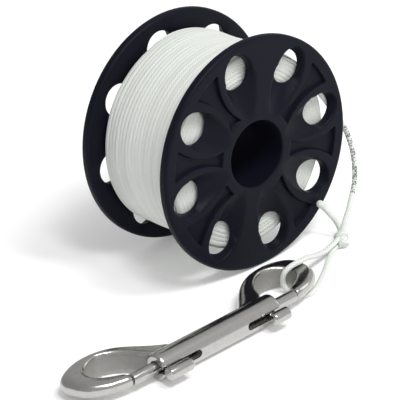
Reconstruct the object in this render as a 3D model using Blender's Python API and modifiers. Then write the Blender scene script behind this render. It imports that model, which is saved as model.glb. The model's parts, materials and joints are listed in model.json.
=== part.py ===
"""Finger spool of braided line, with a double-ended bolt snap tied to the line's free end.

The spool's axis lies along Y and its front face looks along -Y. The snap lies in front of it
along X, on the same floor, with its eyes toward the spool. Lengths are in metres.
"""

import math

import bmesh
import bpy
import numpy as np
from mathutils import Matrix, Vector
from mathutils.kdtree import KDTree

# Spool
FLANGE_DIAMETER = 0.0900
SPOOL_WIDTH = 0.0470
FLANGE_THICKNESS = 0.0038
RIM_ROUNDING = 0.0012
BORE_DIAMETER = 0.0256
BORE_LIP = 0.0007
HUB_WALL = 0.0034
SPIGOT_LENGTH = 0.0060
FIT_GAP = 0.0003

# Holes and scoops of a flange
HOLE_COUNT = 8
FIRST_HOLE_ANGLE = math.radians(9.0)
HOLE_DIAMETER = 0.0127
HOLE_RIM_BAND = 0.00475
HOLE_LIP_WIDTH = 0.0011
HOLE_LIP_DEPTH = 0.0012
SCOOP_RADIUS = 0.0082
SCOOP_HUB_BAND = 0.0024
SCOOP_BREAK_SETBACK = 0.0054
SCOOP_END_SETBACK = 0.0014

# Pockets between the petals of a flange
POCKET_DEPTH = 0.0015
POCKET_HUB_BAND = 0.0043
POCKET_RIM_BAND = 0.0049
POCKET_WAIST_SHARE = 0.535
POCKET_INNER_WIDTH = 0.0061
POCKET_WAIST_WIDTH = 0.0037
POCKET_OUTER_WIDTH = 0.0119
PLAIN_GAPS = (1, 5)

# Line
LINE_DIAMETER = 0.00205
LINE_RIM_BAND = 0.0070
LINE_TURN_GAP = 0.00045
LINE_LEAVE_ANGLE = math.radians(33.0)
TAG_BULB_DIAMETER = 0.0029
KNOT_SIZE = (0.0062, 0.0054, 0.0056)
CORD_STEP_DIAMETERS = 2.2

# Snap
SNAP_LENGTH = 0.1150
BARREL_LENGTH = 0.0562
BARREL_DIAMETER = 0.0104
BARREL_EDGE = 0.0007
EYE_REACH = 0.0232
EYE_ROOT_HALF_SPAN = 0.0140
EYE_THICKNESS = 0.0079
EYE_ROUNDING = 0.0031
NOSE_GAP_SPAN = 0.0812
NOSE_DIAMETER = 0.0049
EYE_RAMP_START = 0.0050
EYE_RAMP_END = 0.0160
EYE_RAMP_RISE = 0.0002
GATE_INNER_EDGE = 0.0027
BOLT_DIAMETER = 0.0046
BOLT_INNER_SPAN = 0.0420
BOLT_ROUNDING = 0.0006
BOLT_TRAVEL = 0.0113
SLOT_WIDTH = 0.0030
SPRING_SEAT_SPAN = 0.0090
KNOB_DIAMETER = 0.0048
LEFT_KNOB_LENGTH = 0.0108
RIGHT_KNOB_LENGTH = 0.0082
KNOB_CENTRE_SPAN = 0.0488
KNOB_STAND_OFF = 0.0086
KNOB_EDGE = 0.0007
NECK_DIAMETER = 0.0024
NECK_DEPTH = 0.0013
SPRING_WIRE = 0.0005
SPRING_DIAMETER = 0.0042
SPRING_TURNS = 9

# Snap's place on the floor, from the spool's axis
SNAP_CENTRE_X = -0.0570
SNAP_CENTRE_Y = -0.0574

# Segment counts and tolerances
FLANGE_STEPS = 56
HOLE_STEPS = 16
SCOOP_STEPS = 24
ROUND_STEPS = 20
NECK_STEPS = 12
ARC_STEPS = 4
RIM_STEPS = 2
PATH_SAMPLES = 12
EYE_SAMPLES = 2
TURN_POINTS = 24
SPRING_POINTS = 8
BALL_SEGMENTS = 10
BALL_RINGS = 6
WINDING_RESOLUTION = 1
CORD_RESOLUTION = 2
SPRING_RESOLUTION = 0
EYE_RESOLUTION = 1
SHARP_ANGLE = math.radians(35)
SHARP_LINE_ANGLE = math.radians(60)
CUT_OVERRUN = 0.0010
MERGE_DISTANCE = 0.00001

# Plan of an eye's outer edge: shares of the way from its root to its tip, and of its reach
EYE_OUTLINE_SHARES = (
    (0.000, 0.198), (0.075, 0.310), (0.158, 0.474), (0.248, 0.655), (0.355, 0.841),
    (0.471, 0.957), (0.586, 1.000), (0.713, 0.983), (0.828, 0.892), (0.933, 0.741),
    (0.995, 0.552), (0.993, 0.379), (0.938, 0.211), (0.834, 0.069), (0.724, -0.039),
    (0.611, -0.112), (0.368, -0.177), (0.000, -0.198),
)
# Plan of an eye's opening, from its nose to the barrel's end, in the same shares
EYE_OPENING_SHARES = (
    (0.713, 0.147), (0.793, 0.267), (0.818, 0.448), (0.786, 0.629), (0.703, 0.741),
    (0.586, 0.750), (0.478, 0.655), (0.395, 0.483), (0.345, 0.259),
)

# Free line, tag and loop: places on the route, from the spool's axis and the floor
LEAD_ROUTE = (
    (0.0416, -0.0184, 0.0489), (0.0469, -0.0184, 0.0407), (0.0500, -0.0187, 0.0340),
    (0.0512, -0.0197, 0.0275), (0.0508, -0.0211, 0.0216), (0.0493, -0.0225, 0.0174),
    (0.0467, -0.0245, 0.0145), (0.0427, -0.0268, 0.0125), (0.0384, -0.0296, 0.0107),
    (0.0337, -0.0326, 0.0090), (0.0298, -0.0352, 0.0070),
)
TAG_ROUTE = (
    (0.0288, -0.0330, 0.0053), (0.0295, -0.0314, 0.0070), (0.0293, -0.0288, 0.0091),
    (0.0282, -0.0264, 0.0118), (0.0270, -0.0254, 0.0138),
)
LOOP_ROUTE = (
    (0.0240, -0.0361, 0.0040), (0.0205, -0.0366, 0.0033), (0.0160, -0.0379, 0.0027),
    (0.0110, -0.0398, 0.0040), (0.0062, -0.0423, 0.0069), (0.0015, -0.0447, 0.0092),
    (-0.0035, -0.0463, 0.0096), (-0.0082, -0.0462, 0.0094), (-0.0113, -0.0459, 0.0080),
    (-0.0123, -0.0456, 0.0055), (-0.0122, -0.0459, 0.0030), (-0.0120, -0.0478, 0.0013),
    (-0.0124, -0.0508, 0.0011), (-0.0112, -0.0539, 0.0011), (-0.0075, -0.0554, 0.0011),
    (-0.0022, -0.0536, 0.0011), (0.0027, -0.0506, 0.0011), (0.0081, -0.0471, 0.0011),
    (0.0133, -0.0433, 0.0011), (0.0178, -0.0398, 0.0011), (0.0213, -0.0377, 0.0011),
    (0.0243, -0.0369, 0.0012),
)
KNOT_PLACE = (0.0275, -0.0361, 0.0036)


def clear_scene():
    """Remove every object of the open scene."""
    for item in list(bpy.data.objects):
        bpy.data.objects.remove(item, do_unlink=True)


def new_collection(name):
    """Add a collection to the scene."""
    group = bpy.data.collections.new(name)
    bpy.context.scene.collection.children.link(group)
    return group


def new_material(name, colour, roughness, metallic):
    """Make a plain Principled material."""
    material = bpy.data.materials.new(name)
    material.use_nodes = True
    shader = material.node_tree.nodes["Principled BSDF"]
    shader.inputs["Base Color"].default_value = (*colour, 1)
    shader.inputs["Roughness"].default_value = roughness
    shader.inputs["Metallic"].default_value = metallic
    return material


def spool_plastic(name):
    """Dark blue-black moulded plastic."""
    return new_material(name, (0.020, 0.019, 0.030), 0.42, 0)


def line_fibre(name):
    """Pale green braided line."""
    return new_material(name, (0.66, 0.76, 0.66), 0.75, 0)


def cast_steel(name):
    """Polished stainless steel."""
    return new_material(name, (0.68, 0.66, 0.62), 0.22, 1)


def spring_steel(name):
    """Bare spring wire."""
    return new_material(name, (0.52, 0.52, 0.50), 0.30, 1)


def add_mesh_object(name, mesh, group):
    """Link a new object that holds a mesh."""
    item = bpy.data.objects.new(name, mesh)
    group.objects.link(item)
    return item


def refresh():
    """Bring world matrices and modifiers up to date."""
    bpy.context.view_layer.update()


def evaluated_mesh(item):
    """Give an object's evaluated mesh as a new mesh."""
    refresh()
    graph = bpy.context.evaluated_depsgraph_get()
    return bpy.data.meshes.new_from_object(item.evaluated_get(graph), depsgraph=graph)


def weld(mesh, distance=MERGE_DISTANCE):
    """Merge a mesh's touching points and turn its faces outward."""
    shape = bmesh.new()
    shape.from_mesh(mesh)
    bmesh.ops.remove_doubles(shape, verts=shape.verts, dist=distance)
    bmesh.ops.recalc_face_normals(shape, faces=shape.faces)
    shape.to_mesh(mesh)
    shape.free()


def bake(item):
    """Replace an object by a welded mesh object of the same name and place."""
    name = item.name
    group = item.users_collection[0]
    mesh = evaluated_mesh(item)
    weld(mesh)
    place = item.matrix_world.copy()
    bpy.data.objects.remove(item, do_unlink=True)
    solid = add_mesh_object(name, mesh, group)
    solid.matrix_world = place
    return solid


def hide_cutter(item):
    """Show a cutter as wire, and leave it out of renders."""
    item.hide_render = True
    item.display_type = "WIRE"
    return item


def apply_boolean(item, tool, operation):
    """Cut, join or intersect an object with a tool object, and remove the tool."""
    refresh()
    modifier = item.modifiers.new(operation.title(), "BOOLEAN")
    modifier.operation = operation
    modifier.solver = "EXACT"
    modifier.object = tool
    mesh = evaluated_mesh(item)
    item.modifiers.remove(modifier)
    item.data = mesh
    bpy.data.objects.remove(tool, do_unlink=True)


def cut(item, tool):
    """Cut a tool out of an object."""
    apply_boolean(item, tool, "DIFFERENCE")


def join(item, tool):
    """Join a tool to an object."""
    apply_boolean(item, tool, "UNION")


def keep_inside(item, tool):
    """Keep only what lies inside the tool."""
    apply_boolean(item, tool, "INTERSECT")


def cylinder(name, group, diameter, length, top_diameter=None, steps=ROUND_STEPS):
    """Add a cylinder or frustum along local Z, centred on its origin."""
    mesh = bpy.data.meshes.new(name)
    shape = bmesh.new()
    top = diameter if top_diameter is None else top_diameter
    bmesh.ops.create_cone(
        shape, cap_ends=True, segments=steps, radius1=diameter / 2, radius2=top / 2, depth=length
    )
    shape.to_mesh(mesh)
    shape.free()
    return add_mesh_object(name, mesh, group)


def turned(name, group, profile, steps, closed=True):
    """Turn a profile of (radius, height) points about Z, outer side running top to bottom."""
    mesh = bpy.data.meshes.new(name)
    points = [(radius, 0, height) for radius, height in profile]
    edges = [(i, i + 1) for i in range(len(points) - 1)]
    if closed:
        edges.append((len(points) - 1, 0))
    mesh.from_pydata(points, edges, [])
    item = add_mesh_object(name, mesh, group)
    screw = item.modifiers.new("Turn", "SCREW")
    screw.angle = 2 * math.pi
    screw.steps = steps
    screw.render_steps = steps
    screw.axis = "Z"
    screw.use_merge_vertices = True
    screw.merge_threshold = MERGE_DISTANCE
    return bake(item)


def prism(name, group, outline, height, rounding=0, resolution=0):
    """Extrude a flat XY outline through a height centred on its plane, with rounded edges."""
    curve = bpy.data.curves.new(name, "CURVE")
    curve.dimensions = "2D"
    curve.fill_mode = "BOTH"
    curve.extrude = height / 2 - rounding
    curve.bevel_depth = rounding
    curve.bevel_resolution = resolution
    curve.offset = -rounding
    spline = curve.splines.new("POLY")
    spline.points.add(len(outline) - 1)
    for point, (x, y) in zip(spline.points, outline):
        point.co = (x, y, 0, 1)
    spline.use_cyclic_u = True
    item = bpy.data.objects.new(name, curve)
    group.objects.link(item)
    return bake(item)


def tube(name, group, points, diameter, resolution):
    """Sweep a round wire with filled ends along points."""
    curve = bpy.data.curves.new(name, "CURVE")
    curve.dimensions = "3D"
    curve.bevel_depth = diameter / 2
    curve.bevel_resolution = resolution
    curve.use_fill_caps = True
    spline = curve.splines.new("POLY")
    spline.points.add(len(points) - 1)
    for point, place in zip(spline.points, points):
        point.co = (*place, 1)
    item = bpy.data.objects.new(name, curve)
    group.objects.link(item)
    return bake(item)


def arc(centre, radius, start, end, steps=ARC_STEPS):
    """Give points along an arc in a plane, both ends included."""
    angles = np.linspace(start, end, steps + 1)
    return [(centre[0] + radius * math.cos(a), centre[1] + radius * math.sin(a)) for a in angles]


def smooth_path(route, samples=PATH_SAMPLES):
    """Give dense points on a Catmull-Rom curve through a route."""
    places = [Vector(p) for p in route]
    count = len(places)
    points = []
    for i in range(count - 1):
        before = places[i - 1] if i else places[0] * 2 - places[1]
        after = places[i + 2] if i + 2 < count else places[-1] * 2 - places[-2]
        four = [before, places[i], places[i + 1], after]
        for k in range(samples):
            points.append(between(four, k / samples))
    points.append(places[-1])
    return points


def between(four, share):
    """Read a Catmull-Rom span at a share of its way."""
    a, b, c, d = four
    slope = c - a
    bend = 2 * a - 5 * b + 4 * c - d
    twist = 3 * b - a - 3 * c + d
    return (2 * b + slope * share + bend * share ** 2 + twist * share ** 3) / 2


def even_points(points, step):
    """Space points evenly along a path, about one step apart, keeping its ends."""
    lengths = [0]
    for a, b in zip(points, points[1:]):
        lengths.append(lengths[-1] + (b - a).length)
    count = max(2, round(lengths[-1] / step))
    marks = np.linspace(0, lengths[-1], count + 1)
    columns = np.array([tuple(p) for p in points]).T
    return [Vector(p) for p in np.array([np.interp(marks, lengths, c) for c in columns]).T]


def finish(item, material, angle=SHARP_ANGLE):
    """Give an object its one material and smooth round faces."""
    item.data.materials.clear()
    item.data.materials.append(material)
    item.data.shade_smooth()
    item.data.set_sharp_from_angle(angle=angle)
    return item


def half_spool_profile(with_spigot):
    """Section of half a spool: radius and distance from the spool's middle plane."""
    rim = FLANGE_DIAMETER / 2
    bore = BORE_DIAMETER / 2
    hub = bore + HUB_WALL
    face = SPOOL_WIDTH / 2
    inside = face - FLANGE_THICKNESS
    seam = bore + HUB_WALL / 2
    shoulder = rim - RIM_ROUNDING
    outer_corner = arc((shoulder, face - RIM_ROUNDING), RIM_ROUNDING, math.pi / 2, 0, RIM_STEPS)
    inner_corner = arc((shoulder, inside + RIM_ROUNDING), RIM_ROUNDING, 0, -math.pi / 2, RIM_STEPS)
    top = [(bore + BORE_LIP, face)] + outer_corner + inner_corner + [(hub, inside)]
    if with_spigot:
        wall = seam - FIT_GAP / 2
        end = [(hub, 0), (wall, 0), (wall, -SPIGOT_LENGTH), (bore, -SPIGOT_LENGTH)]
    else:
        socket = SPIGOT_LENGTH + FIT_GAP
        wall = seam + FIT_GAP / 2
        end = [(hub, FIT_GAP), (wall, FIT_GAP), (wall, socket), (bore, socket)]
    return top + end + [(bore, face - BORE_LIP)]


def hole_pitch_radius():
    """Radius of the circle of holes, a band in from the rim."""
    return (FLANGE_DIAMETER - HOLE_DIAMETER) / 2 - HOLE_RIM_BAND


def line_pack_radius():
    """Radius of the wound line, a band in from the rim."""
    return FLANGE_DIAMETER / 2 - LINE_RIM_BAND


def pocket_outline():
    """Plan of one pocket along +X: parabolic sides between two round ends."""
    hub_end = BORE_DIAMETER / 2 + POCKET_HUB_BAND
    rim_end = FLANGE_DIAMETER / 2 - POCKET_RIM_BAND
    radii = np.linspace(hub_end, rim_end, 2 * ARC_STEPS)
    stations = (hub_end, hub_end + POCKET_WAIST_SHARE * (rim_end - hub_end), rim_end)
    widths = (POCKET_INNER_WIDTH, POCKET_WAIST_WIDTH, POCKET_OUTER_WIDTH)
    fit = np.polyfit(stations, widths, 2)
    halves = [np.polyval(fit, radius) / 2 for radius in radii]
    left = [(math.sqrt(r * r - h * h), h) for r, h in zip(radii, halves)]
    outer_angle = math.asin(halves[-1] / rim_end)
    inner_angle = math.asin(halves[0] / hub_end)
    outer = arc((0, 0), rim_end, outer_angle, -outer_angle)[1:-1]
    inner = arc((0, 0), hub_end, -inner_angle, inner_angle)[1:-1]
    right = [(x, -y) for x, y in reversed(left)]
    return left + outer + right + inner


def hole_tools(cutters, angle):
    """Cutters of one hole: the hole itself, its lip and the scoop that leads to it."""
    face = SPOOL_WIDTH / 2
    middle = face - FLANGE_THICKNESS / 2
    turn = Matrix.Rotation(angle, 4, "Z")
    through = FLANGE_THICKNESS + 2 * CUT_OVERRUN
    hole = cylinder("hole_cutter", cutters, HOLE_DIAMETER, through, steps=HOLE_STEPS)
    pitch = hole_pitch_radius()
    hole.matrix_world = turn @ Matrix.Translation((pitch, 0, middle))
    flare = 2 * HOLE_LIP_WIDTH / HOLE_LIP_DEPTH
    height = HOLE_LIP_DEPTH + CUT_OVERRUN
    lip = cylinder(
        "lip_cutter", cutters, HOLE_DIAMETER, height, HOLE_DIAMETER + flare * height, HOLE_STEPS
    )
    lip_middle = face - HOLE_LIP_DEPTH + height / 2
    lip.matrix_world = turn @ Matrix.Translation((pitch, 0, lip_middle))
    scoop_start = BORE_DIAMETER / 2 + SCOOP_HUB_BAND
    slope = math.atan2(FLANGE_THICKNESS, pitch - SCOOP_BREAK_SETBACK - scoop_start)
    run = (pitch - SCOOP_END_SETBACK - scoop_start) / math.cos(slope)
    back = scoop_start / 2
    scoop = cylinder("scoop_cutter", cutters, 2 * SCOOP_RADIUS, run + back, steps=SCOOP_STEPS)
    lay = Matrix.Rotation(math.pi / 2 + slope, 4, "Y")
    start = Matrix.Translation((scoop_start, 0, face))
    push = Matrix.Translation((-SCOOP_RADIUS, 0, (run - back) / 2))
    scoop.matrix_world = turn @ start @ lay @ push
    return hole, lip, scoop


def pocket_tool(cutters, angle):
    """Cutter of one pocket."""
    height = POCKET_DEPTH + CUT_OVERRUN
    tool = prism("pocket_cutter", cutters, pocket_outline(), height)
    lift = Matrix.Translation((0, 0, SPOOL_WIDTH / 2 - POCKET_DEPTH + height / 2))
    tool.matrix_world = Matrix.Rotation(angle, 4, "Z") @ lift
    return tool


def half_spool(name, group, cutters, with_spigot, mirrored):
    """Half a spool, modelled with its outer face up and then laid on the spool's axis."""
    item = turned(name, group, half_spool_profile(with_spigot), FLANGE_STEPS)
    side = -1 if mirrored else 1
    step = 2 * math.pi / HOLE_COUNT
    for i in range(HOLE_COUNT):
        for tool in hole_tools(cutters, side * (FIRST_HOLE_ANGLE + i * step)):
            cut(item, hide_cutter(tool))
    for i in range(HOLE_COUNT):
        if i in PLAIN_GAPS:
            continue
        cut(item, hide_cutter(pocket_tool(cutters, side * (FIRST_HOLE_ANGLE + (i + 0.5) * step))))
    weld(item.data)
    item.rotation_euler = (side * math.pi / 2, 0, 0)
    item.location = (0, 0, FLANGE_DIAMETER / 2)
    return finish(item, spool_plastic(name))


def inner_width():
    """Width between the flanges."""
    return SPOOL_WIDTH - 2 * FLANGE_THICKNESS


def winding_points():
    """Points of the outer layer, from the rear flange to the place where the line leaves."""
    radius = line_pack_radius() - LINE_DIAMETER / 2
    reach = inner_width() / 2 - FIT_GAP - LINE_DIAMETER / 2
    turns = math.floor(2 * reach / (LINE_DIAMETER + LINE_TURN_GAP) * TURN_POINTS) / TURN_POINTS
    count = round(turns * TURN_POINTS)
    points = []
    for i in range(count + 1):
        share = i / count
        angle = LINE_LEAVE_ANGLE + (1 - share) * turns * 2 * math.pi
        y = reach - share * 2 * reach
        z = FLANGE_DIAMETER / 2 + radius * math.sin(angle)
        points.append(Vector((radius * math.cos(angle), y, z)))
    tangent = Vector((math.sin(LINE_LEAVE_ANGLE), 0, -math.cos(LINE_LEAVE_ANGLE)))
    points.append(points[-1] + tangent * LINE_DIAMETER)
    return points


def least_gap_to_itself(points):
    """Measure the least gap between turns of the winding."""
    tree = KDTree(len(points))
    for i, point in enumerate(points):
        tree.insert(point, i)
    tree.balance()
    near = TURN_POINTS // 2
    least = math.inf
    for i, point in enumerate(points):
        for _, j, distance in tree.find_range(point, 3 * LINE_DIAMETER):
            if abs(i - j) > near:
                least = min(least, distance)
    return least - LINE_DIAMETER


def line_on_spool(group):
    """Wound line: a plain core and the outer layer."""
    outer = line_pack_radius() - LINE_DIAMETER - FIT_GAP
    inner = BORE_DIAMETER / 2 + HUB_WALL + FIT_GAP
    half = inner_width() / 2 - FIT_GAP
    edge = LINE_DIAMETER / 2
    profile = [(inner, half), (outer - edge, half), (outer, half - edge), (outer, edge - half)]
    profile += [(outer - edge, -half), (inner, -half)]
    core = turned("line_core", group, profile, FLANGE_STEPS)
    core.rotation_euler = (math.pi / 2, 0, 0)
    core.location = (0, 0, FLANGE_DIAMETER / 2)
    points = winding_points()
    winding = tube("line_winding", group, points, LINE_DIAMETER, WINDING_RESOLUTION)
    print("least gap between turns, mm", round(1000 * least_gap_to_itself(points), 3))
    finish(core, line_fibre("line_core"))
    finish(winding, line_fibre("line_winding"), SHARP_LINE_ANGLE)
    return core, winding


def cord(name, group, path):
    """A free stretch of line along a path."""
    points = even_points(path, CORD_STEP_DIAMETERS * LINE_DIAMETER)
    item = tube(name, group, points, LINE_DIAMETER, CORD_RESOLUTION)
    return finish(item, line_fibre(name), SHARP_LINE_ANGLE)


def lead_path():
    """Route of the free line, which carries on from the end of the winding."""
    end, last = winding_points()[-1], winding_points()[-2]
    start = end + (end - last).normalized() * FIT_GAP
    straight = start + (end - last).normalized() * LINE_DIAMETER
    return smooth_path([start, straight] + [Vector(p) for p in LEAD_ROUTE])


def free_line(group):
    """Free line, knot, tag end and the loop through the snap's eye."""
    pieces = [cord("line_lead", group, lead_path())]
    knot = ball("line_knot", group, KNOT_SIZE)
    knot.location = KNOT_PLACE
    pieces.append(finish(knot, line_fibre("line_knot")))
    tag = cord("line_tag", group, smooth_path(TAG_ROUTE))
    bulb = ball("tag_bulb", group, (TAG_BULB_DIAMETER,) * 3)
    bulb.location = TAG_ROUTE[-1]
    join(tag, bulb)
    pieces.append(finish(tag, tag.data.materials[0]))
    pieces.append(cord("clip_loop", group, smooth_path(LOOP_ROUTE)))
    return pieces


def ball(name, group, size):
    """An ellipsoid of the given three diameters."""
    mesh = bpy.data.meshes.new(name)
    shape = bmesh.new()
    scale = Matrix.Diagonal((*size, 1))
    bmesh.ops.create_uvsphere(
        shape, u_segments=BALL_SEGMENTS, v_segments=BALL_RINGS, radius=1 / 2, matrix=scale
    )
    shape.to_mesh(mesh)
    shape.free()
    return add_mesh_object(name, mesh, group)


def eye_point(share, side):
    """Place a share pair of an eye's plan on one side of the snap."""
    tip = SNAP_LENGTH / 2
    along = EYE_ROOT_HALF_SPAN + share[0] * (tip - EYE_ROOT_HALF_SPAN)
    return (side * along, share[1] * EYE_REACH)


def eye_outline(side):
    """Smooth outer edge of an eye in plan."""
    corners = [eye_point(share, side) for share in EYE_OUTLINE_SHARES]
    path = smooth_path([(x, y, 0) for x, y in corners], EYE_SAMPLES)
    return [(p.x, p.y) for p in path]


def eye_section():
    """Side view of an eye's stock: round at the nose, thicker toward the far side."""
    nose = NOSE_DIAMETER / 2
    thick = EYE_THICKNESS / 2
    far = EYE_REACH + CUT_OVERRUN
    upper = arc((0, 0), nose, math.pi, math.pi / 2)
    upper += [(EYE_RAMP_START, nose + EYE_RAMP_RISE), (EYE_RAMP_END, thick), (far, thick)]
    return upper + [(y, -z) for y, z in reversed(upper[1:])]


def eye_solid(group, cutters, side):
    """One eye with its opening and its nose."""
    item = prism("eye", group, eye_outline(side), EYE_THICKNESS, EYE_ROUNDING, EYE_RESOLUTION)
    tool = prism("section_cutter", cutters, eye_section(), SNAP_LENGTH)
    to_side_view = Matrix(((0, 0, 1, 0), (1, 0, 0, 0), (0, 1, 0, 0), (0, 0, 0, 1)))
    tool.matrix_world = to_side_view
    keep_inside(item, hide_cutter(tool))
    cut(item, hide_cutter(eye_opening(cutters, side)))
    return item


def eye_opening(cutters, side):
    """Cutter of an eye's opening and of the gate that the bolt closes."""
    nose = NOSE_GAP_SPAN / 2
    inside_barrel = BARREL_LENGTH / 2 - CUT_OVERRUN
    low = -BARREL_DIAMETER / 2 - CUT_OVERRUN
    curve = smooth_path([(*eye_point(share, side), 0) for share in EYE_OPENING_SHARES], EYE_SAMPLES)
    outline = [(side * inside_barrel, low), (side * nose, low), (side * nose, GATE_INNER_EDGE)]
    outline += [(p.x, p.y) for p in curve] + [(side * inside_barrel, GATE_INNER_EDGE)]
    return prism("opening_cutter", cutters, outline, BARREL_DIAMETER + 2 * CUT_OVERRUN)


def along_x(item, x):
    """Lay a Z cylinder along X with its middle at x."""
    item.matrix_world = Matrix.Translation((x, 0, 0)) @ Matrix.Rotation(math.pi / 2, 4, "Y")
    return item


def across_x(item, x, y):
    """Lay a Z cylinder along Y with its middle at x and y."""
    item.matrix_world = Matrix.Translation((x, y, 0)) @ Matrix.Rotation(math.pi / 2, 4, "X")
    return item


def bore_diameter():
    """Bore that a bolt slides in."""
    return BOLT_DIAMETER + 2 * FIT_GAP


def snap_body(group, cutters):
    """Barrel with an eye and a nose at each end."""
    half = BARREL_LENGTH / 2
    radius = BARREL_DIAMETER / 2
    profile = [(0, half), (radius - BARREL_EDGE, half), (radius, half - BARREL_EDGE)]
    profile += [(r, -z) for r, z in reversed(profile)]
    body = turned("snap_body", group, profile, ROUND_STEPS, closed=False)
    along_x(body, 0)
    for side in (-1, 1):
        join(body, eye_solid(group, cutters, side))
    for side in (-1, 1):
        seat = SPRING_SEAT_SPAN / 2
        length = half - seat + CUT_OVERRUN
        bore = cylinder("bore_cutter", cutters, bore_diameter(), length)
        cut(body, along_x(hide_cutter(bore), side * (seat + length / 2)))
        cut(body, hide_cutter(slot_tool(cutters, side)))
    weld(body.data)
    return finish(body, cast_steel("snap_body"))


def slot_tool(cutters, side):
    """Cutter of the slot that a thumb knob's neck runs in, open at the barrel's end."""
    half = SLOT_WIDTH / 2
    end = BARREL_LENGTH / 2 + CUT_OVERRUN
    inner = KNOB_CENTRE_SPAN / 2 - BOLT_TRAVEL - NECK_DIAMETER / 2 - FIT_GAP
    outline = arc((inner + half, 0), half, math.pi / 2, 1.5 * math.pi)
    outline += [(end, -half), (end, half)]
    depth = BARREL_DIAMETER / 2 + CUT_OVERRUN
    tool = prism("slot_cutter", cutters, outline, depth)
    to_front = Matrix.Translation((0, -depth / 2, 0)) @ Matrix.Rotation(math.pi / 2, 4, "X")
    tool.matrix_world = Matrix.Rotation((1 - side) * math.pi / 2, 4, "Y") @ to_front
    return tool


def bolt(name, group, cutters, side):
    """Sprung bolt with a seat for its knob's neck."""
    outer = NOSE_GAP_SPAN / 2 - FIT_GAP
    inner = BOLT_INNER_SPAN / 2
    length = outer - inner
    radius = BOLT_DIAMETER / 2
    turn_at = (radius - BOLT_ROUNDING, length / 2 - BOLT_ROUNDING)
    corner = arc(turn_at, BOLT_ROUNDING, math.pi / 2, 0, RIM_STEPS)
    profile = [(0, length / 2)] + corner
    profile += [(r, -z) for r, z in reversed(profile)]
    item = turned(name, group, profile, ROUND_STEPS, closed=False)
    along_x(item, side * (outer + inner) / 2)
    depth = NECK_DEPTH + FIT_GAP
    wide = NECK_DIAMETER + 2 * FIT_GAP
    seat = cylinder("seat_cutter", cutters, wide, depth + CUT_OVERRUN, steps=NECK_STEPS)
    y = -radius + (depth - CUT_OVERRUN) / 2
    cut(item, hide_cutter(across_x(seat, side * KNOB_CENTRE_SPAN / 2, y)))
    weld(item.data)
    return finish(item, cast_steel(name))


def thumb_knob(name, group, side, length):
    """Knob beside the barrel, with the neck that reaches the bolt through the slot."""
    half = length / 2
    radius = KNOB_DIAMETER / 2
    edge = KNOB_EDGE
    middle = side * KNOB_CENTRE_SPAN / 2
    profile = [(0, half), (radius - edge / 2, half), (radius, half - edge / 2)]
    profile += [(radius, 2 * edge - half), (radius - edge, -half), (0, -half)]
    item = turned(name, group, profile, ROUND_STEPS, closed=False)
    turn = Matrix.Rotation(side * math.pi / 2, 4, "Y")
    item.matrix_world = Matrix.Translation((middle, -KNOB_STAND_OFF, 0)) @ turn
    tip = BOLT_DIAMETER / 2 - NECK_DEPTH
    neck = cylinder("neck", group, NECK_DIAMETER, KNOB_STAND_OFF - tip, steps=NECK_STEPS)
    join(item, across_x(neck, middle, -(KNOB_STAND_OFF + tip) / 2))
    weld(item.data)
    return finish(item, cast_steel(name))


def bolt_spring(name, group, side):
    """Coil spring between the barrel's seat and the bolt."""
    start = SPRING_SEAT_SPAN / 2 + FIT_GAP + SPRING_WIRE / 2
    end = BOLT_INNER_SPAN / 2 - FIT_GAP - SPRING_WIRE / 2
    radius = (SPRING_DIAMETER - SPRING_WIRE) / 2
    count = SPRING_TURNS * SPRING_POINTS
    points = []
    for i in range(count + 1):
        angle = 2 * math.pi * i / SPRING_POINTS
        x = side * (start + (end - start) * i / count)
        points.append(Vector((x, radius * math.cos(angle), radius * math.sin(angle))))
    item = tube(name, group, points, SPRING_WIRE, SPRING_RESOLUTION)
    return finish(item, spring_steel(name))


def snap_pose():
    """Rest the barrel and both eyes on the floor, with the eyes toward the spool."""
    drop = (BARREL_DIAMETER - EYE_THICKNESS) / 2
    roll = math.asin(drop / (EYE_REACH - EYE_ROUNDING))
    place = Matrix.Translation((SNAP_CENTRE_X, SNAP_CENTRE_Y, BARREL_DIAMETER / 2))
    return place @ Matrix.Rotation(-roll, 4, "X")


def snap(group, cutters):
    """Every piece of the double-ended snap, laid in its place."""
    pieces = [snap_body(group, cutters)]
    for label, side, length in (("left", -1, LEFT_KNOB_LENGTH), ("right", 1, RIGHT_KNOB_LENGTH)):
        pieces.append(bolt(label + "_bolt", group, cutters, side))
        pieces.append(thumb_knob(label + "_thumb_knob", group, side, length))
        pieces.append(bolt_spring(label + "_bolt_spring", group, side))
    pose = snap_pose()
    for piece in pieces:
        piece.matrix_world = pose @ piece.matrix_world
    return pieces


def footprint_centre(pieces):
    """Middle of the pieces' bounding box, on the floor."""
    refresh()
    corners = [piece.matrix_world @ v.co for piece in pieces for v in piece.data.vertices]
    low = [min(c[i] for c in corners) for i in range(3)]
    high = [max(c[i] for c in corners) for i in range(3)]
    return Vector(((low[0] + high[0]) / 2, (low[1] + high[1]) / 2, 0))


def main():
    """Build the spool, its line and the snap about the middle of their footprint."""
    clear_scene()
    group = new_collection("finger_spool")
    cutters = new_collection("cutters")
    firm = [
        half_spool("front_half_spool", group, cutters, with_spigot=True, mirrored=False),
        half_spool("rear_half_spool", group, cutters, with_spigot=False, mirrored=True),
    ]
    firm += line_on_spool(group)
    firm += snap(group, cutters)
    cords = free_line(group)
    shift = footprint_centre(firm)
    for piece in firm + cords:
        piece.matrix_world = Matrix.Translation(-shift) @ piece.matrix_world
    print("footprint centre from the spool's axis, mm", [round(1000 * v, 4) for v in shift])


main()
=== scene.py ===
"""Looks of a finger spool of braided line, with a double-ended bolt snap tied to the line.

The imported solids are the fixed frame. Every sub-assembly below is a class that holds its sizes
and builds and dresses its own pieces, in metres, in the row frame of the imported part.
"""

import json
import logging
import math
from collections.abc import Callable, Iterable, Iterator, Sequence
from contextlib import contextmanager
from dataclasses import dataclass
from enum import Enum

import bmesh
import bpy
import numpy as np
from mathutils import Matrix, Vector
from mathutils.geometry import delaunay_2d_cdt

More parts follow.
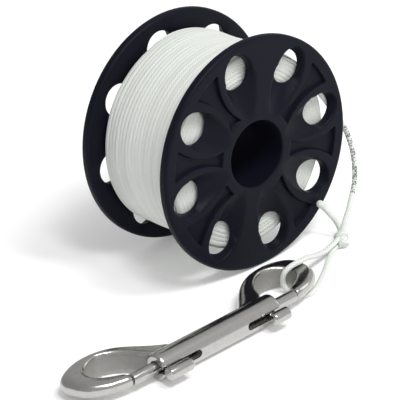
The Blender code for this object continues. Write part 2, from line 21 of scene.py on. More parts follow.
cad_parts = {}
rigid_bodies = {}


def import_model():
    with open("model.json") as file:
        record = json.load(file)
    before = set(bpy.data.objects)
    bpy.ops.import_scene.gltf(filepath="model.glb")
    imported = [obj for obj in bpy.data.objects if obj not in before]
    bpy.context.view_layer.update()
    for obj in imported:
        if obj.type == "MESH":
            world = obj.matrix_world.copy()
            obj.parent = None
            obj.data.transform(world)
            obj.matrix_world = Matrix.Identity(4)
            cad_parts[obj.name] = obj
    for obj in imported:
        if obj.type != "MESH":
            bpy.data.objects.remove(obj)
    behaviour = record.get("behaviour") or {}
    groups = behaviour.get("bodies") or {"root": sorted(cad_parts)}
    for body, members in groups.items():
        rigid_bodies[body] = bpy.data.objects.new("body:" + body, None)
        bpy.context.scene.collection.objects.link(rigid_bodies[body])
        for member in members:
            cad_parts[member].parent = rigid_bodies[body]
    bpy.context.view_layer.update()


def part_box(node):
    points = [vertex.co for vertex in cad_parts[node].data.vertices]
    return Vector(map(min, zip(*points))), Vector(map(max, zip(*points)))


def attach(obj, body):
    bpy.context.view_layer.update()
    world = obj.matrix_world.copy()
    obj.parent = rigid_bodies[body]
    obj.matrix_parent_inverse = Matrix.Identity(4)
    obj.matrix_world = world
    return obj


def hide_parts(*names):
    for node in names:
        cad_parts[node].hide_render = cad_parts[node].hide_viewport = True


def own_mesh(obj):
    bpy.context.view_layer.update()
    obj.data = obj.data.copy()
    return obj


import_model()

LOG = logging.getLogger("finger_spool")

WELD_GAP = 1e-6
FINE_WELD_GAP = 1e-7
PER_METRE = 1000
TUBE_SHARP_ANGLE = 60.0

Pair = tuple[float, float]
Triple = tuple[float, float, float]
Term = "Val | float"


class Body(Enum):
    """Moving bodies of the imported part."""

    SPOOL = "spool"
    SNAP = "snap"
    LEFT_BOLT = "left_bolt"
    RIGHT_BOLT = "right_bolt"


class Slot(Enum):
    """Material slots of the record."""

    PLASTIC = "spool_plastic"
    LINE = "line_fibre"
    STEEL = "cast_steel"
    SPRING = "spring_steel"


class End(Enum):
    """The two ends of the snap, as the side of X that they lie on."""

    LEFT = -1
    RIGHT = 1


# Nodes


class Val:
    """A number-carrying socket that takes part in Python sums."""

    def __init__(self, kit: "NodeKit", socket: bpy.types.NodeSocket) -> None:
        self.kit = kit
        self.socket = socket

    def __add__(self, other: Term) -> "Val":
        """Add."""
        return self.kit.math("ADD", self, other)

    def __radd__(self, other: Term) -> "Val":
        """Add to a number."""
        return self.kit.math("ADD", other, self)

    def __sub__(self, other: Term) -> "Val":
        """Subtract."""
        return self.kit.math("SUBTRACT", self, other)

    def __rsub__(self, other: Term) -> "Val":
        """Subtract from a number."""
        return self.kit.math("SUBTRACT", other, self)

    def __mul__(self, other: Term) -> "Val":
        """Multiply."""
        return self.kit.math("MULTIPLY", self, other)

    def __rmul__(self, other: Term) -> "Val":
        """Multiply a number."""
        return self.kit.math("MULTIPLY", other, self)

    def __pow__(self, other: Term) -> "Val":
        """Raise to a power."""
        return self.kit.math("POWER", self, other)

    def __gt__(self, other: Term) -> "Val":
        """Give one where this is the greater."""
        return self.kit.math("GREATER_THAN", self, other)

    def sin(self) -> "Val":
        """Sine."""
        return self.kit.math("SINE", self)

    def cos(self) -> "Val":
        """Cosine."""
        return self.kit.math("COSINE", self)

    def fract(self) -> "Val":
        """Part after the point."""
        return self.kit.math("FRACT", self)

    def floor(self) -> "Val":
        """Whole part."""
        return self.kit.math("FLOOR", self)

    def mod(self, other: Term) -> "Val":
        """Rest after division."""
        return self.kit.math("FLOORED_MODULO", self, other)

    def clamp(self) -> "Val":
        """Keep between nought and one."""
        return self.kit.math("MINIMUM", self.kit.math("MAXIMUM", self, 0.0), 1.0)


class NodeKit:
    """Adds nodes to one tree, for a material, a world or a geometry tree."""

    def __init__(self, tree: bpy.types.NodeTree) -> None:
        """Keep the tree."""
        self.tree = tree

    def node(self, kind: str, settings: dict | None = None, inputs: dict | None = None) -> bpy.types.Node:
        """Add one node.

        Args:
            kind: the node's type name.
            settings: properties that are set first; "stops" holds a ramp's (place, colour) pairs.
            inputs: values or links of its sockets, by name or by number.

        Returns:
            The new node.
        """
        made = self.tree.nodes.new(kind)
        for key, setting in (settings or {}).items():
            if key == "stops":
                ramp = made.color_ramp.elements
                for _ in range(len(setting) - len(ramp)):
                    ramp.new(0.5)
                for stop, (place, colour) in zip(ramp, setting):
                    stop.position = place
                    stop.color = (*colour, 1.0)
            else:
                setattr(made, key, setting)
        self.feed(made, inputs or {})
        return made

    def feed(self, node: bpy.types.Node, inputs: dict) -> None:
        """Give a node's sockets their values or links.

        Args:
            node: the node.
            inputs: values or links of its sockets, by name or by number.
        """
        for key, given in inputs.items():
            socket = node.inputs[key]
            if isinstance(given, Val):
                self.tree.links.new(given.socket, socket)
            elif isinstance(given, bpy.types.NodeSocket):
                self.tree.links.new(given, socket)
            else:
                socket.default_value = given

    def val(self, socket: bpy.types.NodeSocket) -> Val:
        """Wrap a socket."""
        return Val(self, socket)

    def math(self, operation: str, *terms: Term) -> Val:
        """Add a Math node.

        Args:
            operation: the Math node's operation.
            terms: its inputs in order, sockets or numbers.

        Returns:
            The node's result.
        """
        made = self.node("ShaderNodeMath", {"operation": operation}, dict(enumerate(terms)))
        return Val(self, made.outputs[0])

    def noise(self, vector: bpy.types.NodeSocket, scale: float, detail: float = 3.0) -> Val:
        """Give smooth noise about a half.

        Args:
            vector: coordinates.
            scale: lumps per metre, or per unit of the coordinates.
            detail: octaves.

        Returns:
            The noise as a number.
        """
        made = self.node("ShaderNodeTexNoise", None, {"Vector": vector, "Scale": scale, "Detail": detail})
        return Val(self, made.outputs["Fac"])

    def blend(self, share: Term, first: object, second: object) -> bpy.types.NodeSocket:
        """Mix two colours.

        Args:
            share: how much of the second shows.
            first: colour or socket.
            second: colour or socket.

        Returns:
            The mixed colour's socket.
        """
        made = self.node("ShaderNodeMix", {"data_type": "RGBA"}, {0: share, 6: first, 7: second})
        return made.outputs[2]

    def bump(self, height: Val, distance: float, strength: float = 1.0) -> bpy.types.NodeSocket:
        """Turn a height into a normal.

        Args:
            height: height, about nought to one.
            distance: metres that a height of one stands up.
            strength: share of the effect.

        Returns:
            The normal's socket.
        """
        inputs = {"Height": height, "Distance": distance, "Strength": strength}
        return self.node("ShaderNodeBump", None, inputs).outputs["Normal"]


def rgba(colour: Triple) -> tuple[float, float, float, float]:
    """Give a colour its full alpha."""
    return (*colour, 1.0)


# Finishes


@dataclass(frozen=True)
class Finish:
    """Starts a material with one Principled shader."""

    name: str

    def start(self) -> tuple[bpy.types.Material, NodeKit, bpy.types.Node]:
        """Make the bare material.

        Returns:
            The material, its node kit and its Principled node.
        """
        material = bpy.data.materials.new(self.name)
        material.use_nodes = True
        kit = NodeKit(material.node_tree)
        return material, kit, material.node_tree.nodes["Principled BSDF"]


@dataclass(frozen=True)
class MouldedPlastic(Finish):
    """Blue-black satin plastic with a fine spark-eroded grain."""

    name: str = "moulded_plastic"
    dark: Triple = (0.0040, 0.0043, 0.0092)
    light: Triple = (0.0062, 0.0066, 0.0130)
    roughness: float = 0.46
    sheen: float = 0.085
    cloud_scale: float = 55.0
    grain_scale: float = 5200.0
    flow_scale: float = 260.0
    relief: float = 0.00003
    relief_strength: float = 0.5
    grain_height: float = 0.7
    flow_height: float = 0.5
    cloud_rough: float = 0.16
    grain_rough: float = 0.08

    def make(self) -> bpy.types.Material:
        """Build the material.

        Returns:
            The finished material.
        """
        material, kit, shader = self.start()
        place = kit.node("ShaderNodeTexCoord").outputs["Object"]
        cloud = kit.noise(place, self.cloud_scale)
        grain = kit.noise(place, self.grain_scale, detail=2.0)
        flow = kit.noise(place, self.flow_scale)
        colour = kit.blend(cloud, rgba(self.dark), rgba(self.light))
        normal = kit.bump(
            grain * self.grain_height + flow * self.flow_height, self.relief, self.relief_strength
        )
        rough = self.roughness + (cloud - 0.5) * self.cloud_rough + (grain - 0.5) * self.grain_rough
        kit.feed(shader, {"Base Color": colour, "Roughness": rough, "Normal": normal})
        kit.feed(shader, {"Specular IOR Level": self.sheen})
        return material


@dataclass(frozen=True)
class BraidedLine(Finish):
    """Braided line with painted shade in its grooves and painted shade flecks along one side of a stretch;
    its UV map runs in stitches along it and once round it.
    """

    name: str = "braided_line"
    thread: Triple = (0.735, 0.76, 0.725)
    # Painted shade: the tone that the braid falls to in the grooves between its strands; the darker bands
    # round the pack blend toward it too.
    groove_shade: Triple = (0.53, 0.555, 0.52)
    # Painted shade: the dark tone of flecks along one side of the lead's shaded stretch.
    shade_fleck: Triple = (0.030, 0.034, 0.028)
    worn: Triple = (0.60, 0.64, 0.585)
    strands: float = 6.0
    relief: float = 0.00005
    bands: float = 0.55
    fibre_scale: float = 6500.0
    soil_scale: float = 130.0
    band_scale: Triple = (9.0, 330.0, 9.0)
    fleck_scale: float = 1.9
    strand_power: float = 0.3
    strand_contrast: float = 1.25
    fibre_contrast: float = 0.7
    soil_start: float = 0.45
    soil_share: float = 0.5
    band_start: float = 0.46
    band_gain: float = 3.4
    fleck_start: float = 0.5
    fleck_lift: float = 0.35
    fleck_side: float = 0.17
    fleck_share: float = 0.93
    strand_height: float = 0.85
    fibre_height: float = 0.3
    roughness: float = 0.62
    fibre_rough: float = 0.2
    nap: float = 0.25
    nap_roughness: float = 0.5
    # Stitches of the stretch whose one side gets painted shade flecks.
    shade_flecked: Pair | None = None

    def braid(self, along: Val, round_it: Val) -> Val:
        """Give the height of the braid's strands.

        Args:
            along: stitches along the line.
            round_it: share of the way round it.

        Returns:
            The height from nought to one.
        """
        right = round_it * self.strands + along
        left = round_it * self.strands - along
        over = (right.floor() + left.floor()).mod(2.0) > 0.5
        across = (right.fract() * math.pi).sin()
        other = (left.fract() * math.pi).sin()
        upper = across * (other ** self.strand_power)
        lower = other * (across ** self.strand_power)
        return over * upper + (1.0 - over) * lower

    def make(self) -> bpy.types.Material:
        """Build the material.

        Returns:
            The finished material.
        """
        material, kit, shader = self.start()
        coordinates = kit.node("ShaderNodeTexCoord").outputs
        place, stitches = coordinates["Object"], coordinates["UV"]
        parts = kit.node("ShaderNodeSeparateXYZ", None, {0: stitches})
        along, round_it = kit.val(parts.outputs[0]), kit.val(parts.outputs[1])
        height = self.braid(along, round_it)
        fibre = kit.noise(place, self.fibre_scale, detail=2.0)
        soil = kit.noise(place, self.soil_scale)
        spread = kit.node("ShaderNodeMapping", None, {"Vector": place, "Scale": self.band_scale})
        band = kit.noise(spread.outputs[0], scale=1.0, detail=2.0)
        # Painted shade: the low parts of the strands take the groove tone, with random fibre tone on top.
        shade = (height * self.strand_contrast + (fibre - 0.5) * self.fibre_contrast).clamp()
        colour = kit.blend(shade, rgba(self.groove_shade), rgba(self.thread))
        soiled = (soil - self.soil_start).clamp() * self.soil_share
        colour = kit.blend(soiled, colour, rgba(self.worn))
        banded = ((band - self.band_start) * self.band_gain).clamp() * self.bands
        colour = kit.blend(banded, colour, rgba(self.groove_shade))
        # Painted shade: dark flecks on the raised strands along one side of that stretch.
        if self.shade_flecked:
            first, last = self.shade_flecked
            inside = (along > first) * (1.0 - (along > last))
            cell = kit.noise(stitches, self.fleck_scale, detail=4.0)
            side = kit.math("ABSOLUTE", round_it - 0.5)
            flecks = (cell > self.fleck_start) * (height > self.fleck_lift) * (side > self.fleck_side)
            colour = kit.blend(inside * flecks * self.fleck_share, colour, rgba(self.shade_fleck))
        normal = kit.bump(height * self.strand_height + fibre * self.fibre_height, self.relief)
        rough = self.roughness + fibre * self.fibre_rough
        kit.feed(shader, {"Base Color": colour, "Roughness": rough, "Normal": normal})
        kit.feed(shader, {"Sheen Weight": self.nap, "Sheen Roughness": self.nap_roughness})
        return material


@dataclass(frozen=True)
class PolishedSteel(Finish):
    """Cast stainless steel, tumbled bright, with soft waves and fine scratches."""

    name: str = "polished_steel"
    colour: Triple = (0.48, 0.475, 0.46)
    tarnish: Triple = (0.37, 0.36, 0.345)
    skin_colour: Triple = (0.20, 0.19, 0.175)
    roughness: float = 0.19
    relief: float = 0.00005
    wave_scale: float = 240.0
    cloud_scale: float = 620.0
    scratch_scale: float = 900.0
    scratch_stretch: Triple = (1.0, 14.0, 14.0)
    pit_scale: float = 3800.0
    pit_start: float = 0.62
    grain_scale: float = 2600.0
    cloud_start: float = 0.42
    cloud_gain: float = 1.2
    skin_tarnish: float = 0.7
    skin_share: float = 0.5
    skin_dull: float = 0.55
    wave_height: float = 0.9
    scratch_height: float = 0.04
    pit_height: float = 0.12
    skin_height: float = 0.9
    cloud_rough: float = 0.10
    scratch_rough: float = 0.10
    pit_rough: float = 0.6
    skin_rough: float = 0.30

    def make(self) -> bpy.types.Material:
        """Build the material.

        Returns:
            The finished material.
        """
        material, kit, shader = self.start()
        place = kit.node("ShaderNodeTexCoord").outputs["Object"]
        wave = kit.noise(place, self.wave_scale, detail=1.0)
        cloud = kit.noise(place, self.cloud_scale)
        stretch = kit.node("ShaderNodeMapping", None, {"Vector": place, "Scale": self.scratch_stretch})
        scratch = kit.noise(stretch.outputs[0], self.scratch_scale, detail=4.0)
        pits = (kit.noise(place, self.pit_scale, detail=2.0) - self.pit_start).clamp()
        skin = kit.val(kit.node("ShaderNodeAttribute", {"attribute_name": "cast_skin"}).outputs["Fac"])
        grain = kit.noise(place, self.grain_scale)
        dulled = (cloud - self.cloud_start).clamp() * self.cloud_gain + skin * grain * self.skin_tarnish
        colour = kit.blend(dulled, rgba(self.colour), rgba(self.tarnish))
        colour = kit.blend(skin * self.skin_share, colour, rgba(self.skin_colour))
        height = wave * self.wave_height + scratch * self.scratch_height - pits * self.pit_height
        height = height + skin * grain * self.skin_height
        rough = self.roughness + (cloud - 0.5) * self.cloud_rough + (scratch - 0.5) * self.scratch_rough
        rough = rough + pits * self.pit_rough + skin * self.skin_rough
        kit.feed(shader, {"Base Color": colour, "Metallic": 1.0 - skin * self.skin_dull})
        kit.feed(shader, {"Roughness": rough, "Normal": kit.bump(height, self.relief)})
        return material


@dataclass(frozen=True)
class SpringWire(Finish):
    """Drawn wire, dull, with darker patches at random."""

    name: str = "spring_wire"
    colour: Triple = (0.36, 0.355, 0.34)
    dull: Triple = (0.24, 0.235, 0.22)
    drawn_scale: float = 2600.0
    relief: float = 0.00002
    metallic: float = 0.7
    roughness: float = 0.42
    drawn_rough: float = 0.2

    def make(self) -> bpy.types.Material:
        """Build the material.

        Returns:
            The finished material.
        """
        material, kit, shader = self.start()
        place = kit.node("ShaderNodeTexCoord").outputs["Object"]
        drawn = kit.noise(place, self.drawn_scale)
        colour = kit.blend(drawn, rgba(self.colour), rgba(self.dull))
        rough = self.roughness + drawn * self.drawn_rough
        kit.feed(shader, {"Base Color": colour, "Metallic": self.metallic, "Roughness": rough})
        kit.feed(shader, {"Normal": kit.bump(drawn, self.relief)})
        return material


@dataclass(frozen=True)
class PaleFloor(Finish):
    """Plain pale studio floor."""

    name: str = "pale_floor"
    colour: Triple = (0.93, 0.93, 0.93)
    scuffed: Triple = (0.90, 0.90, 0.90)
    white: Triple = (1.0, 1.0, 1.0)
    glow: float = 0.16
    cloud_scale: float = 3.0
    scuff_share: float = 0.1
    roughness: float = 0.7
    shine: float = 0.2

    def make(self) -> bpy.types.Material:
        """Build the material.

        Returns:
            The finished material.
        """
        material, kit, shader = self.start()
        place = kit.node("ShaderNodeTexCoord").outputs["Object"]
        cloud = kit.noise(place, self.cloud_scale)
        colour = kit.blend(cloud * self.scuff_share, rgba(self.colour), rgba(self.scuffed))
        kit.feed(shader, {"Base Color": colour, "Roughness": self.roughness})
        kit.feed(shader, {"Specular IOR Level": self.shine})
        kit.feed(shader, {"Emission Color": rgba(self.white), "Emission Strength": self.glow})
        return material


# Shaping


class Bench:
    """Makes and joins plain meshes."""

    @staticmethod
    def link(name: str, data: bpy.types.ID) -> bpy.types.Object:
        """Put data in the scene as an object.

        Args:
            name: the object's name.
            data: a mesh, curve, lamp or camera.

        Returns:
            The new object.
        """
        item = bpy.data.objects.new(name, data)
        bpy.context.scene.collection.objects.link(item)
        return item

    @staticmethod
    def form(name: str, points: Sequence[Triple], faces: Sequence[tuple]) -> bpy.types.Object:
        """Make a mesh object of points and faces.

        Args:
            name: the object's name.
            points: places of its points.
            faces: its faces, as tuples of indices of the points.

        Returns:
            The new object.
        """
        mesh = bpy.data.meshes.new(name)
        mesh.from_pydata(points, [], faces)
        return Bench.link(name, mesh)

    @staticmethod
    def spots(item: bpy.types.Object) -> np.ndarray:
        """Give the places of an object's points.

        Args:
            item: a mesh object.

        Returns:
            Rows of x, y and z.
        """
        places = np.empty(len(item.data.vertices) * 3)
        item.data.vertices.foreach_get("co", places)
        return places.reshape(-1, 3)

    @staticmethod
    def bands(first: int, count: int, steps: int) -> list[tuple]:
        """Give the faces that join rings of points.

        Args:
            first: index of the first point.
            count: rings.
            steps: points of each ring.

        Returns:
            Faces as tuples of indices.
        """
        faces = []
        for low in range(first, first + (count - 1) * steps, steps):
            high = low + steps
            for k in range(steps):
                n = (k + 1) % steps
                faces.append((low + k, low + n, high + n, high + k))
        return faces

    @staticmethod
    def drop(item: bpy.types.Object) -> None:
        """Take an object out of the scene."""
        bpy.data.objects.remove(item, do_unlink=True)

    @staticmethod
    def evaluated(item: bpy.types.Object) -> bpy.types.Mesh:
        """Give an object's evaluated mesh as a new plain mesh.

        Args:
            item: the object.

        Returns:
            The mesh, in the object's own coordinates.
        """
        bpy.context.view_layer.update()
        graph = bpy.context.evaluated_depsgraph_get()
        return bpy.data.meshes.new_from_object(item.evaluated_get(graph), depsgraph=graph)

    @staticmethod
    def settle(item: bpy.types.Object) -> bpy.types.Object:
        """Apply modifiers and place, so that the object sits at the origin.

        Args:
            item: the object.

        Returns:
            A mesh object of the same name with its place in its mesh.
        """
        mesh = Bench.evaluated(item)
        mesh.transform(item.matrix_world)
        name = item.name
        Bench.drop(item)
        return Bench.link(name, mesh)

    @staticmethod
    @contextmanager
    def opened(item: bpy.types.Object) -> Iterator[bmesh.types.BMesh]:
        """Open an object's mesh for changes, which are written back at the end.

        Args:
            item: a mesh object.

        Yields:
            The open mesh.
        """
        shape = bmesh.new()
        shape.from_mesh(item.data)
        yield shape
        shape.to_mesh(item.data)
        shape.free()

    @staticmethod
    def weld(item: bpy.types.Object, distance: float = WELD_GAP) -> None:
        """Merge touching points and turn the faces outward.

        Args:
            item: a mesh object.
            distance: metres within which points merge.
        """
        with Bench.opened(item) as shape:
            bmesh.ops.remove_doubles(shape, verts=shape.verts, dist=distance)
            bmesh.ops.recalc_face_normals(shape, faces=shape.faces)

    @staticmethod
    def modify(item: bpy.types.Object, kind: str, **settings: object) -> bpy.types.Object:
        """Add a modifier and apply it at once.

        Args:
            item: a mesh object.
            kind: the modifier's type.
            settings: its properties.

        Returns:
            The same object.
        """
        modifier = item.modifiers.new(kind.title(), kind)
        for key, setting in settings.items():
            setattr(modifier, key, setting)
        mesh = Bench.evaluated(item)
        item.modifiers.clear()
        item.data = mesh
        return item

    @staticmethod
    def boolean(item: bpy.types.Object, tool: bpy.types.Object, operation: str) -> None:
        """Join, cut or intersect with a tool, and drop the tool.

        Args:
            item: the object that is kept.
            tool: the other object.
            operation: UNION, DIFFERENCE or INTERSECT.
        """
        Bench.modify(item, "BOOLEAN", operation=operation, solver="EXACT", object=tool)
        Bench.drop(tool)

    @staticmethod
    def lathe(name: str, profile: Sequence[Pair], steps: int) -> bpy.types.Object:
        """Turn a profile about the Z axis.

        Args:
            name: the object's name.
            profile: (radius, height) points; a closed one ends where it starts.
            steps: points round the axis.

        Returns:
            The turned object.
        """
        angles = np.linspace(0, 2 * math.pi, steps, endpoint=False)
        points = [(r * math.cos(a), r * math.sin(a), z) for r, z in profile for a in angles]
        item = Bench.form(name, points, Bench.bands(0, len(profile), steps))
        Bench.weld(item, FINE_WELD_GAP)
        return item

    @staticmethod
    def prism(name: str, outline: Sequence[Pair], height: float) -> bpy.types.Object:
        """Extrude a flat outline through a height centred on its plane.

        Args:
            name: the object's name.
            outline: corners in the XY plane.
            height: whole height.

        Returns:
            The welded object.
        """
        curve = bpy.data.curves.new(name, "CURVE")
        curve.dimensions = "2D"
        curve.fill_mode = "BOTH"
        curve.extrude = height / 2
        spline = curve.splines.new("POLY")
        spline.points.add(len(outline) - 1)
        for point, (x, y) in zip(spline.points, outline):
            point.co = (x, y, 0, 1)
        spline.use_cyclic_u = True
        solid = Bench.settle(Bench.link(name, curve))
        Bench.weld(solid)
        return solid

    @staticmethod
    def shade(item: bpy.types.Object, angle: float) -> None:
        """Smooth an object, with edges sharp past an angle in degrees."""
        item.data.shade_smooth()
        item.data.set_sharp_from_angle(angle=math.radians(angle))

    @staticmethod
    def dress(
        item: bpy.types.Object, material: bpy.types.Material, body: Body, slot: Slot, *nodes: str
    ) -> bpy.types.Object:
        """Give a finished piece its material and body, and hide the CAD nodes that it stands for.

        Args:
            item: the finished piece.
            material: its material.
            body: the body that it rides on.
            slot: the record's slot of its finish; not used.
            nodes: CAD nodes that it replaces.

        Returns:
            The piece.
        """
        item.data.materials.clear()
        item.data.materials.append(material)
        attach(item, body.value)
        if nodes:
            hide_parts(*nodes)
        LOG.info("%s: %d faces", item.name, len(item.data.polygons))
        return item


def catmull(route: Sequence[Iterable[float]], samples: int) -> list[Vector]:
    """Run a smooth curve through a route.

    Args:
        route: places on the way.
        samples: points for each stretch.

    Returns:
        Dense points on the curve, both ends included.
    """
    places = [Vector(p) for p in route]
    count = len(places)
    points = []
    for i in range(count - 1):
        a = places[i - 1] if i else places[0] * 2 - places[1]
        b, c = places[i], places[i + 1]
        d = places[i + 2] if i + 2 < count else places[-1] * 2 - places[-2]
        for k in range(samples):
            t = k / samples
            bend, twist = 2 * a - 5 * b + 4 * c - d, 3 * b - a - 3 * c + d
            points.append((2 * b + (c - a) * t + bend * t ** 2 + twist * t ** 3) / 2)
    return points + [places[-1]]


def evenly(points: Sequence[Vector], step: float) -> list[Vector]:
    """Space points evenly along a path, keeping its ends.

    Args:
        points: points along the path.
        step: distance between the new ones.

    Returns:
        The new points.
    """
    line = np.array([tuple(p) for p in points])
    along = np.concatenate([[0], np.cumsum(np.linalg.norm(np.diff(line, axis=0), axis=1))])
    marks = np.linspace(0, along[-1], max(2, round(along[-1] / step)) + 1)
    return [Vector(p) for p in np.stack([np.interp(marks, along, line[:, k]) for k in range(3)], axis=1)]


def path_length(points: Sequence[Vector]) -> float:
    """Measure the way along points."""
    return sum((b - a).length for a, b in zip(points, points[1:]))


def braided_tube(
    name: str, points: Sequence[Vector], radius: Callable[[float], float], pitch: float, sides: int = 16
) -> bpy.types.Object:
    """Sweep a round line along points, with a UV map of stitches along and once round.

    Args:
        name: the object's name.
        points: the line's middle.
        radius: radius at a share of the way.
        pitch: metres of one stitch.
        sides: points round the line.

    Returns:
        The closed tube.
    """
    shape = bmesh.new()
    layer = shape.loops.layers.uv.new("UVMap")
    ends = [points[0], *points, points[-1]]
    tangents = [(after - before).normalized() for before, after in zip(ends, ends[2:])]
    side = tangents[0].orthogonal().normalized()
    total = path_length(points)
    angles = [2 * math.pi * k / sides for k in range(sides)]
    rings, marks, gone = [], [], 0.0
    for i, (point, tangent) in enumerate(zip(points, tangents)):
        if i:
            gone += (point - points[i - 1]).length
            side = (side - tangent * side.dot(tangent)).normalized()
        other = tangent.cross(side)
        wide = radius(gone / total)
        spokes = [(side * math.cos(a) + other * math.sin(a)) * wide for a in angles]
        rings.append([shape.verts.new(point + spoke) for spoke in spokes])
        marks.append(gone / pitch)
    for i in range(len(rings) - 1):
        for k in range(sides):
            n = (k + 1) % sides
            face = shape.faces.new((rings[i][k], rings[i][n], rings[i + 1][n], rings[i + 1][k]))
            spots = ((marks[i], k), (marks[i], k + 1), (marks[i + 1], k + 1), (marks[i + 1], k))
            for loop, (u, v) in zip(face.loops, spots):
                loop[layer].uv = (u, v / sides)
    for ring, tip in ((rings[0], points[0]), (rings[-1], points[-1])):
        middle = shape.verts.new(tip)
        for k in range(sides):
            shape.faces.new((ring[k], middle, ring[(k + 1) % sides]))
    bmesh.ops.recalc_face_normals(shape, faces=shape.faces)
    mesh = bpy.data.meshes.new(name)
    shape.to_mesh(mesh)
    shape.free()
    item = Bench.link(name, mesh)
    Bench.shade(item, TUBE_SHARP_ANGLE)
    return item


# Winding by geometry nodes


@dataclass(frozen=True)
class Winding:
    """One wound run of round stock about the Y axis, from a start place to an end place."""

    turns: float
    start_radius: float
    end_radius: float
    start_y: float
    end_y: float
    start_angle: float
    diameter: float
    rows_per_turn: int = 96
    sides: int = 10
    radial_share: float = 1.0
    axial_share: float = 1.0
    wander: float = 0.0
    radius_wander: float = 1.0
    y_wander: float = 1.0
    seed: float = 0.0
    pitch: float = 0.0016

    def length(self) -> float:
        """Length of stock in the run."""
        return self.turns * math.pi * (self.start_radius + self.end_radius)


class WindingTree:
    """Geometry-node tree that bends a grid into a wound tube."""

    FLOATS = (
        "Turns", "Start Radius", "End Radius", "Start Y", "End Y", "Start Angle", "Diameter",
        "Radial Share", "Axial Share", "Wander", "Radius Wander", "Y Wander", "Seed", "Stitches",
    )
    WHOLE = ("Rows", "Sides")
    DRIFT_ROUND = 1.1
    DRIFT_ACROSS = 260.0
    DRIFT_GAIN = 2.6
    LIFT_SEED = 7.3
    END_SHARE = 1e-7
    SHARP_ANGLE = 70.0

    def __init__(self) -> None:
        """Build the tree once for every run."""
        self.tree = bpy.data.node_groups.new("wound_run", "GeometryNodeTree")
        face = self.tree.interface
        self.ids: dict[str, str] = {}
        face.new_socket(name="Geometry", in_out="OUTPUT", socket_type="NodeSocketGeometry")
        for kind, names in (("Float", self.FLOATS), ("Int", self.WHOLE), ("Material", ("Material",))):
            for name in names:
                made = face.new_socket(name=name, in_out="INPUT", socket_type="NodeSocket" + kind)
                self.ids[name] = made.identifier
        self.fill()

    def fill(self) -> None:
        """Add the nodes: a grid, its bent places, its UV map, the weld and the material."""
        kit = NodeKit(self.tree)
        given = kit.node("NodeGroupInput")
        size = {name: kit.val(given.outputs[name]) for name in self.FLOATS}
        rows, sides = given.outputs["Rows"], given.outputs["Sides"]
        unit = {"Size X": 1.0, "Size Y": 1.0}
        grid = kit.node("GeometryNodeMeshGrid", None, unit | {"Vertices X": rows, "Vertices Y": sides})
        parts = kit.node("ShaderNodeSeparateXYZ", None, {0: kit.node("GeometryNodeInputPosition").outputs[0]})
        share, round_it = kit.val(parts.outputs[0]) + 0.5, kit.val(parts.outputs[1]) + 0.5
        turn = share * size["Turns"] * (2 * math.pi) + size["Start Angle"]
        level = size["Start Y"] + share * (size["End Y"] - size["Start Y"])
        spread = size["Start Radius"] + share * (size["End Radius"] - size["Start Radius"])
        drift = self.drift(kit, turn, level, spread, size["Seed"]) * size["Wander"]
        lift = self.drift(kit, turn, level, spread, size["Seed"] + self.LIFT_SEED) * size["Wander"]
        ends = ((share * (1.0 - share)) > self.END_SHARE) * size["Diameter"] * 0.5
        lie = (round_it + 0.5) * (2 * math.pi)
        radius = spread + lift * size["Radius Wander"] + ends * size["Radial Share"] * lie.cos()
        height = level + drift * size["Y Wander"] + ends * size["Axial Share"] * lie.sin()
        bent = {0: radius * turn.cos(), 1: height, 2: radius * turn.sin()}
        place = kit.node("ShaderNodeCombineXYZ", None, bent).outputs[0]
        uv = kit.node("ShaderNodeCombineXYZ", None, {0: share * size["Stitches"], 1: round_it}).outputs[0]
        held = kit.node("GeometryNodeCaptureAttribute", None, {0: grid.outputs["Mesh"]})
        held.capture_items.new("VECTOR", "UV")
        kit.tree.links.new(uv, held.inputs["UV"])
        moved = kit.node("GeometryNodeSetPosition", None, {"Geometry": held.outputs[0], "Position": place})
        stored = kit.node(
            "GeometryNodeStoreNamedAttribute", {"data_type": "FLOAT2", "domain": "CORNER"},
            {"Geometry": moved.outputs[0], "Name": "UVMap", "Value": held.outputs["UV"]},
        )
        near = {"Geometry": stored.outputs[0], "Distance": WELD_GAP}
        merged = kit.node("GeometryNodeMergeByDistance", None, near)
        real = kit.node("GeometryNodeRealizeInstances", None, {0: merged.outputs[0]})
        finish = {"Geometry": real.outputs[0], "Material": given.outputs["Material"]}
        dressed = kit.node("GeometryNodeSetMaterial", None, finish)
        kit.node("NodeGroupOutput", None, {0: dressed.outputs[0]})

    def drift(self, kit: NodeKit, turn: Val, level: Val, spread: Val, seed: Val) -> Val:
        """Give a wander between minus one and one that neighbouring turns share.

        Args:
            kit: the tree's node kit.
            turn: angle round the axis.
            level: place along the axis.
            spread: distance from the axis.
            seed: apart from other wanders.

        Returns:
            The wander.
        """
        across, up = turn.cos() * self.DRIFT_ROUND + seed, turn.sin() * self.DRIFT_ROUND
        place = {0: across, 1: (level + spread) * self.DRIFT_ACROSS, 2: up}
        vector = kit.node("ShaderNodeCombineXYZ", None, place).outputs[0]
        return (kit.noise(vector, scale=1.0, detail=2.0) - 0.5) * self.DRIFT_GAIN

    def wind(self, name: str, run: Winding, material: bpy.types.Material) -> bpy.types.Object:
        """Wind one run into a plain mesh.

        Args:
            name: the object's name.
            run: its sizes.
            material: its material.

        Returns:
            A closed mesh about the Y axis of the origin.
        """
        item = Bench.link(name, bpy.data.meshes.new(name))
        modifier = item.modifiers.new("Wind", "NODES")
        modifier.node_group = self.tree
        values = {
            "Turns": run.turns, "Start Radius": run.start_radius, "End Radius": run.end_radius,
            "Start Y": run.start_y, "End Y": run.end_y, "Start Angle": run.start_angle,
            "Diameter": run.diameter, "Wander": run.wander, "Seed": run.seed,
            "Radial Share": run.radial_share, "Axial Share": run.axial_share,
            "Radius Wander": run.radius_wander, "Y Wander": run.y_wander,
            "Stitches": run.length() / run.pitch, "Rows": math.ceil(abs(run.turns) * run.rows_per_turn),
            "Sides": run.sides + 1, "Material": material,
        }
        for key, value in values.items():
            modifier[self.ids[key]] = value
        mesh = Bench.evaluated(item)
        item.modifiers.clear()
        item.data = mesh
        with Bench.opened(item) as shape:
            bmesh.ops.recalc_face_normals(shape, faces=shape.faces)
        Bench.shade(item, self.SHARP_ANGLE)
        return item


# Studio


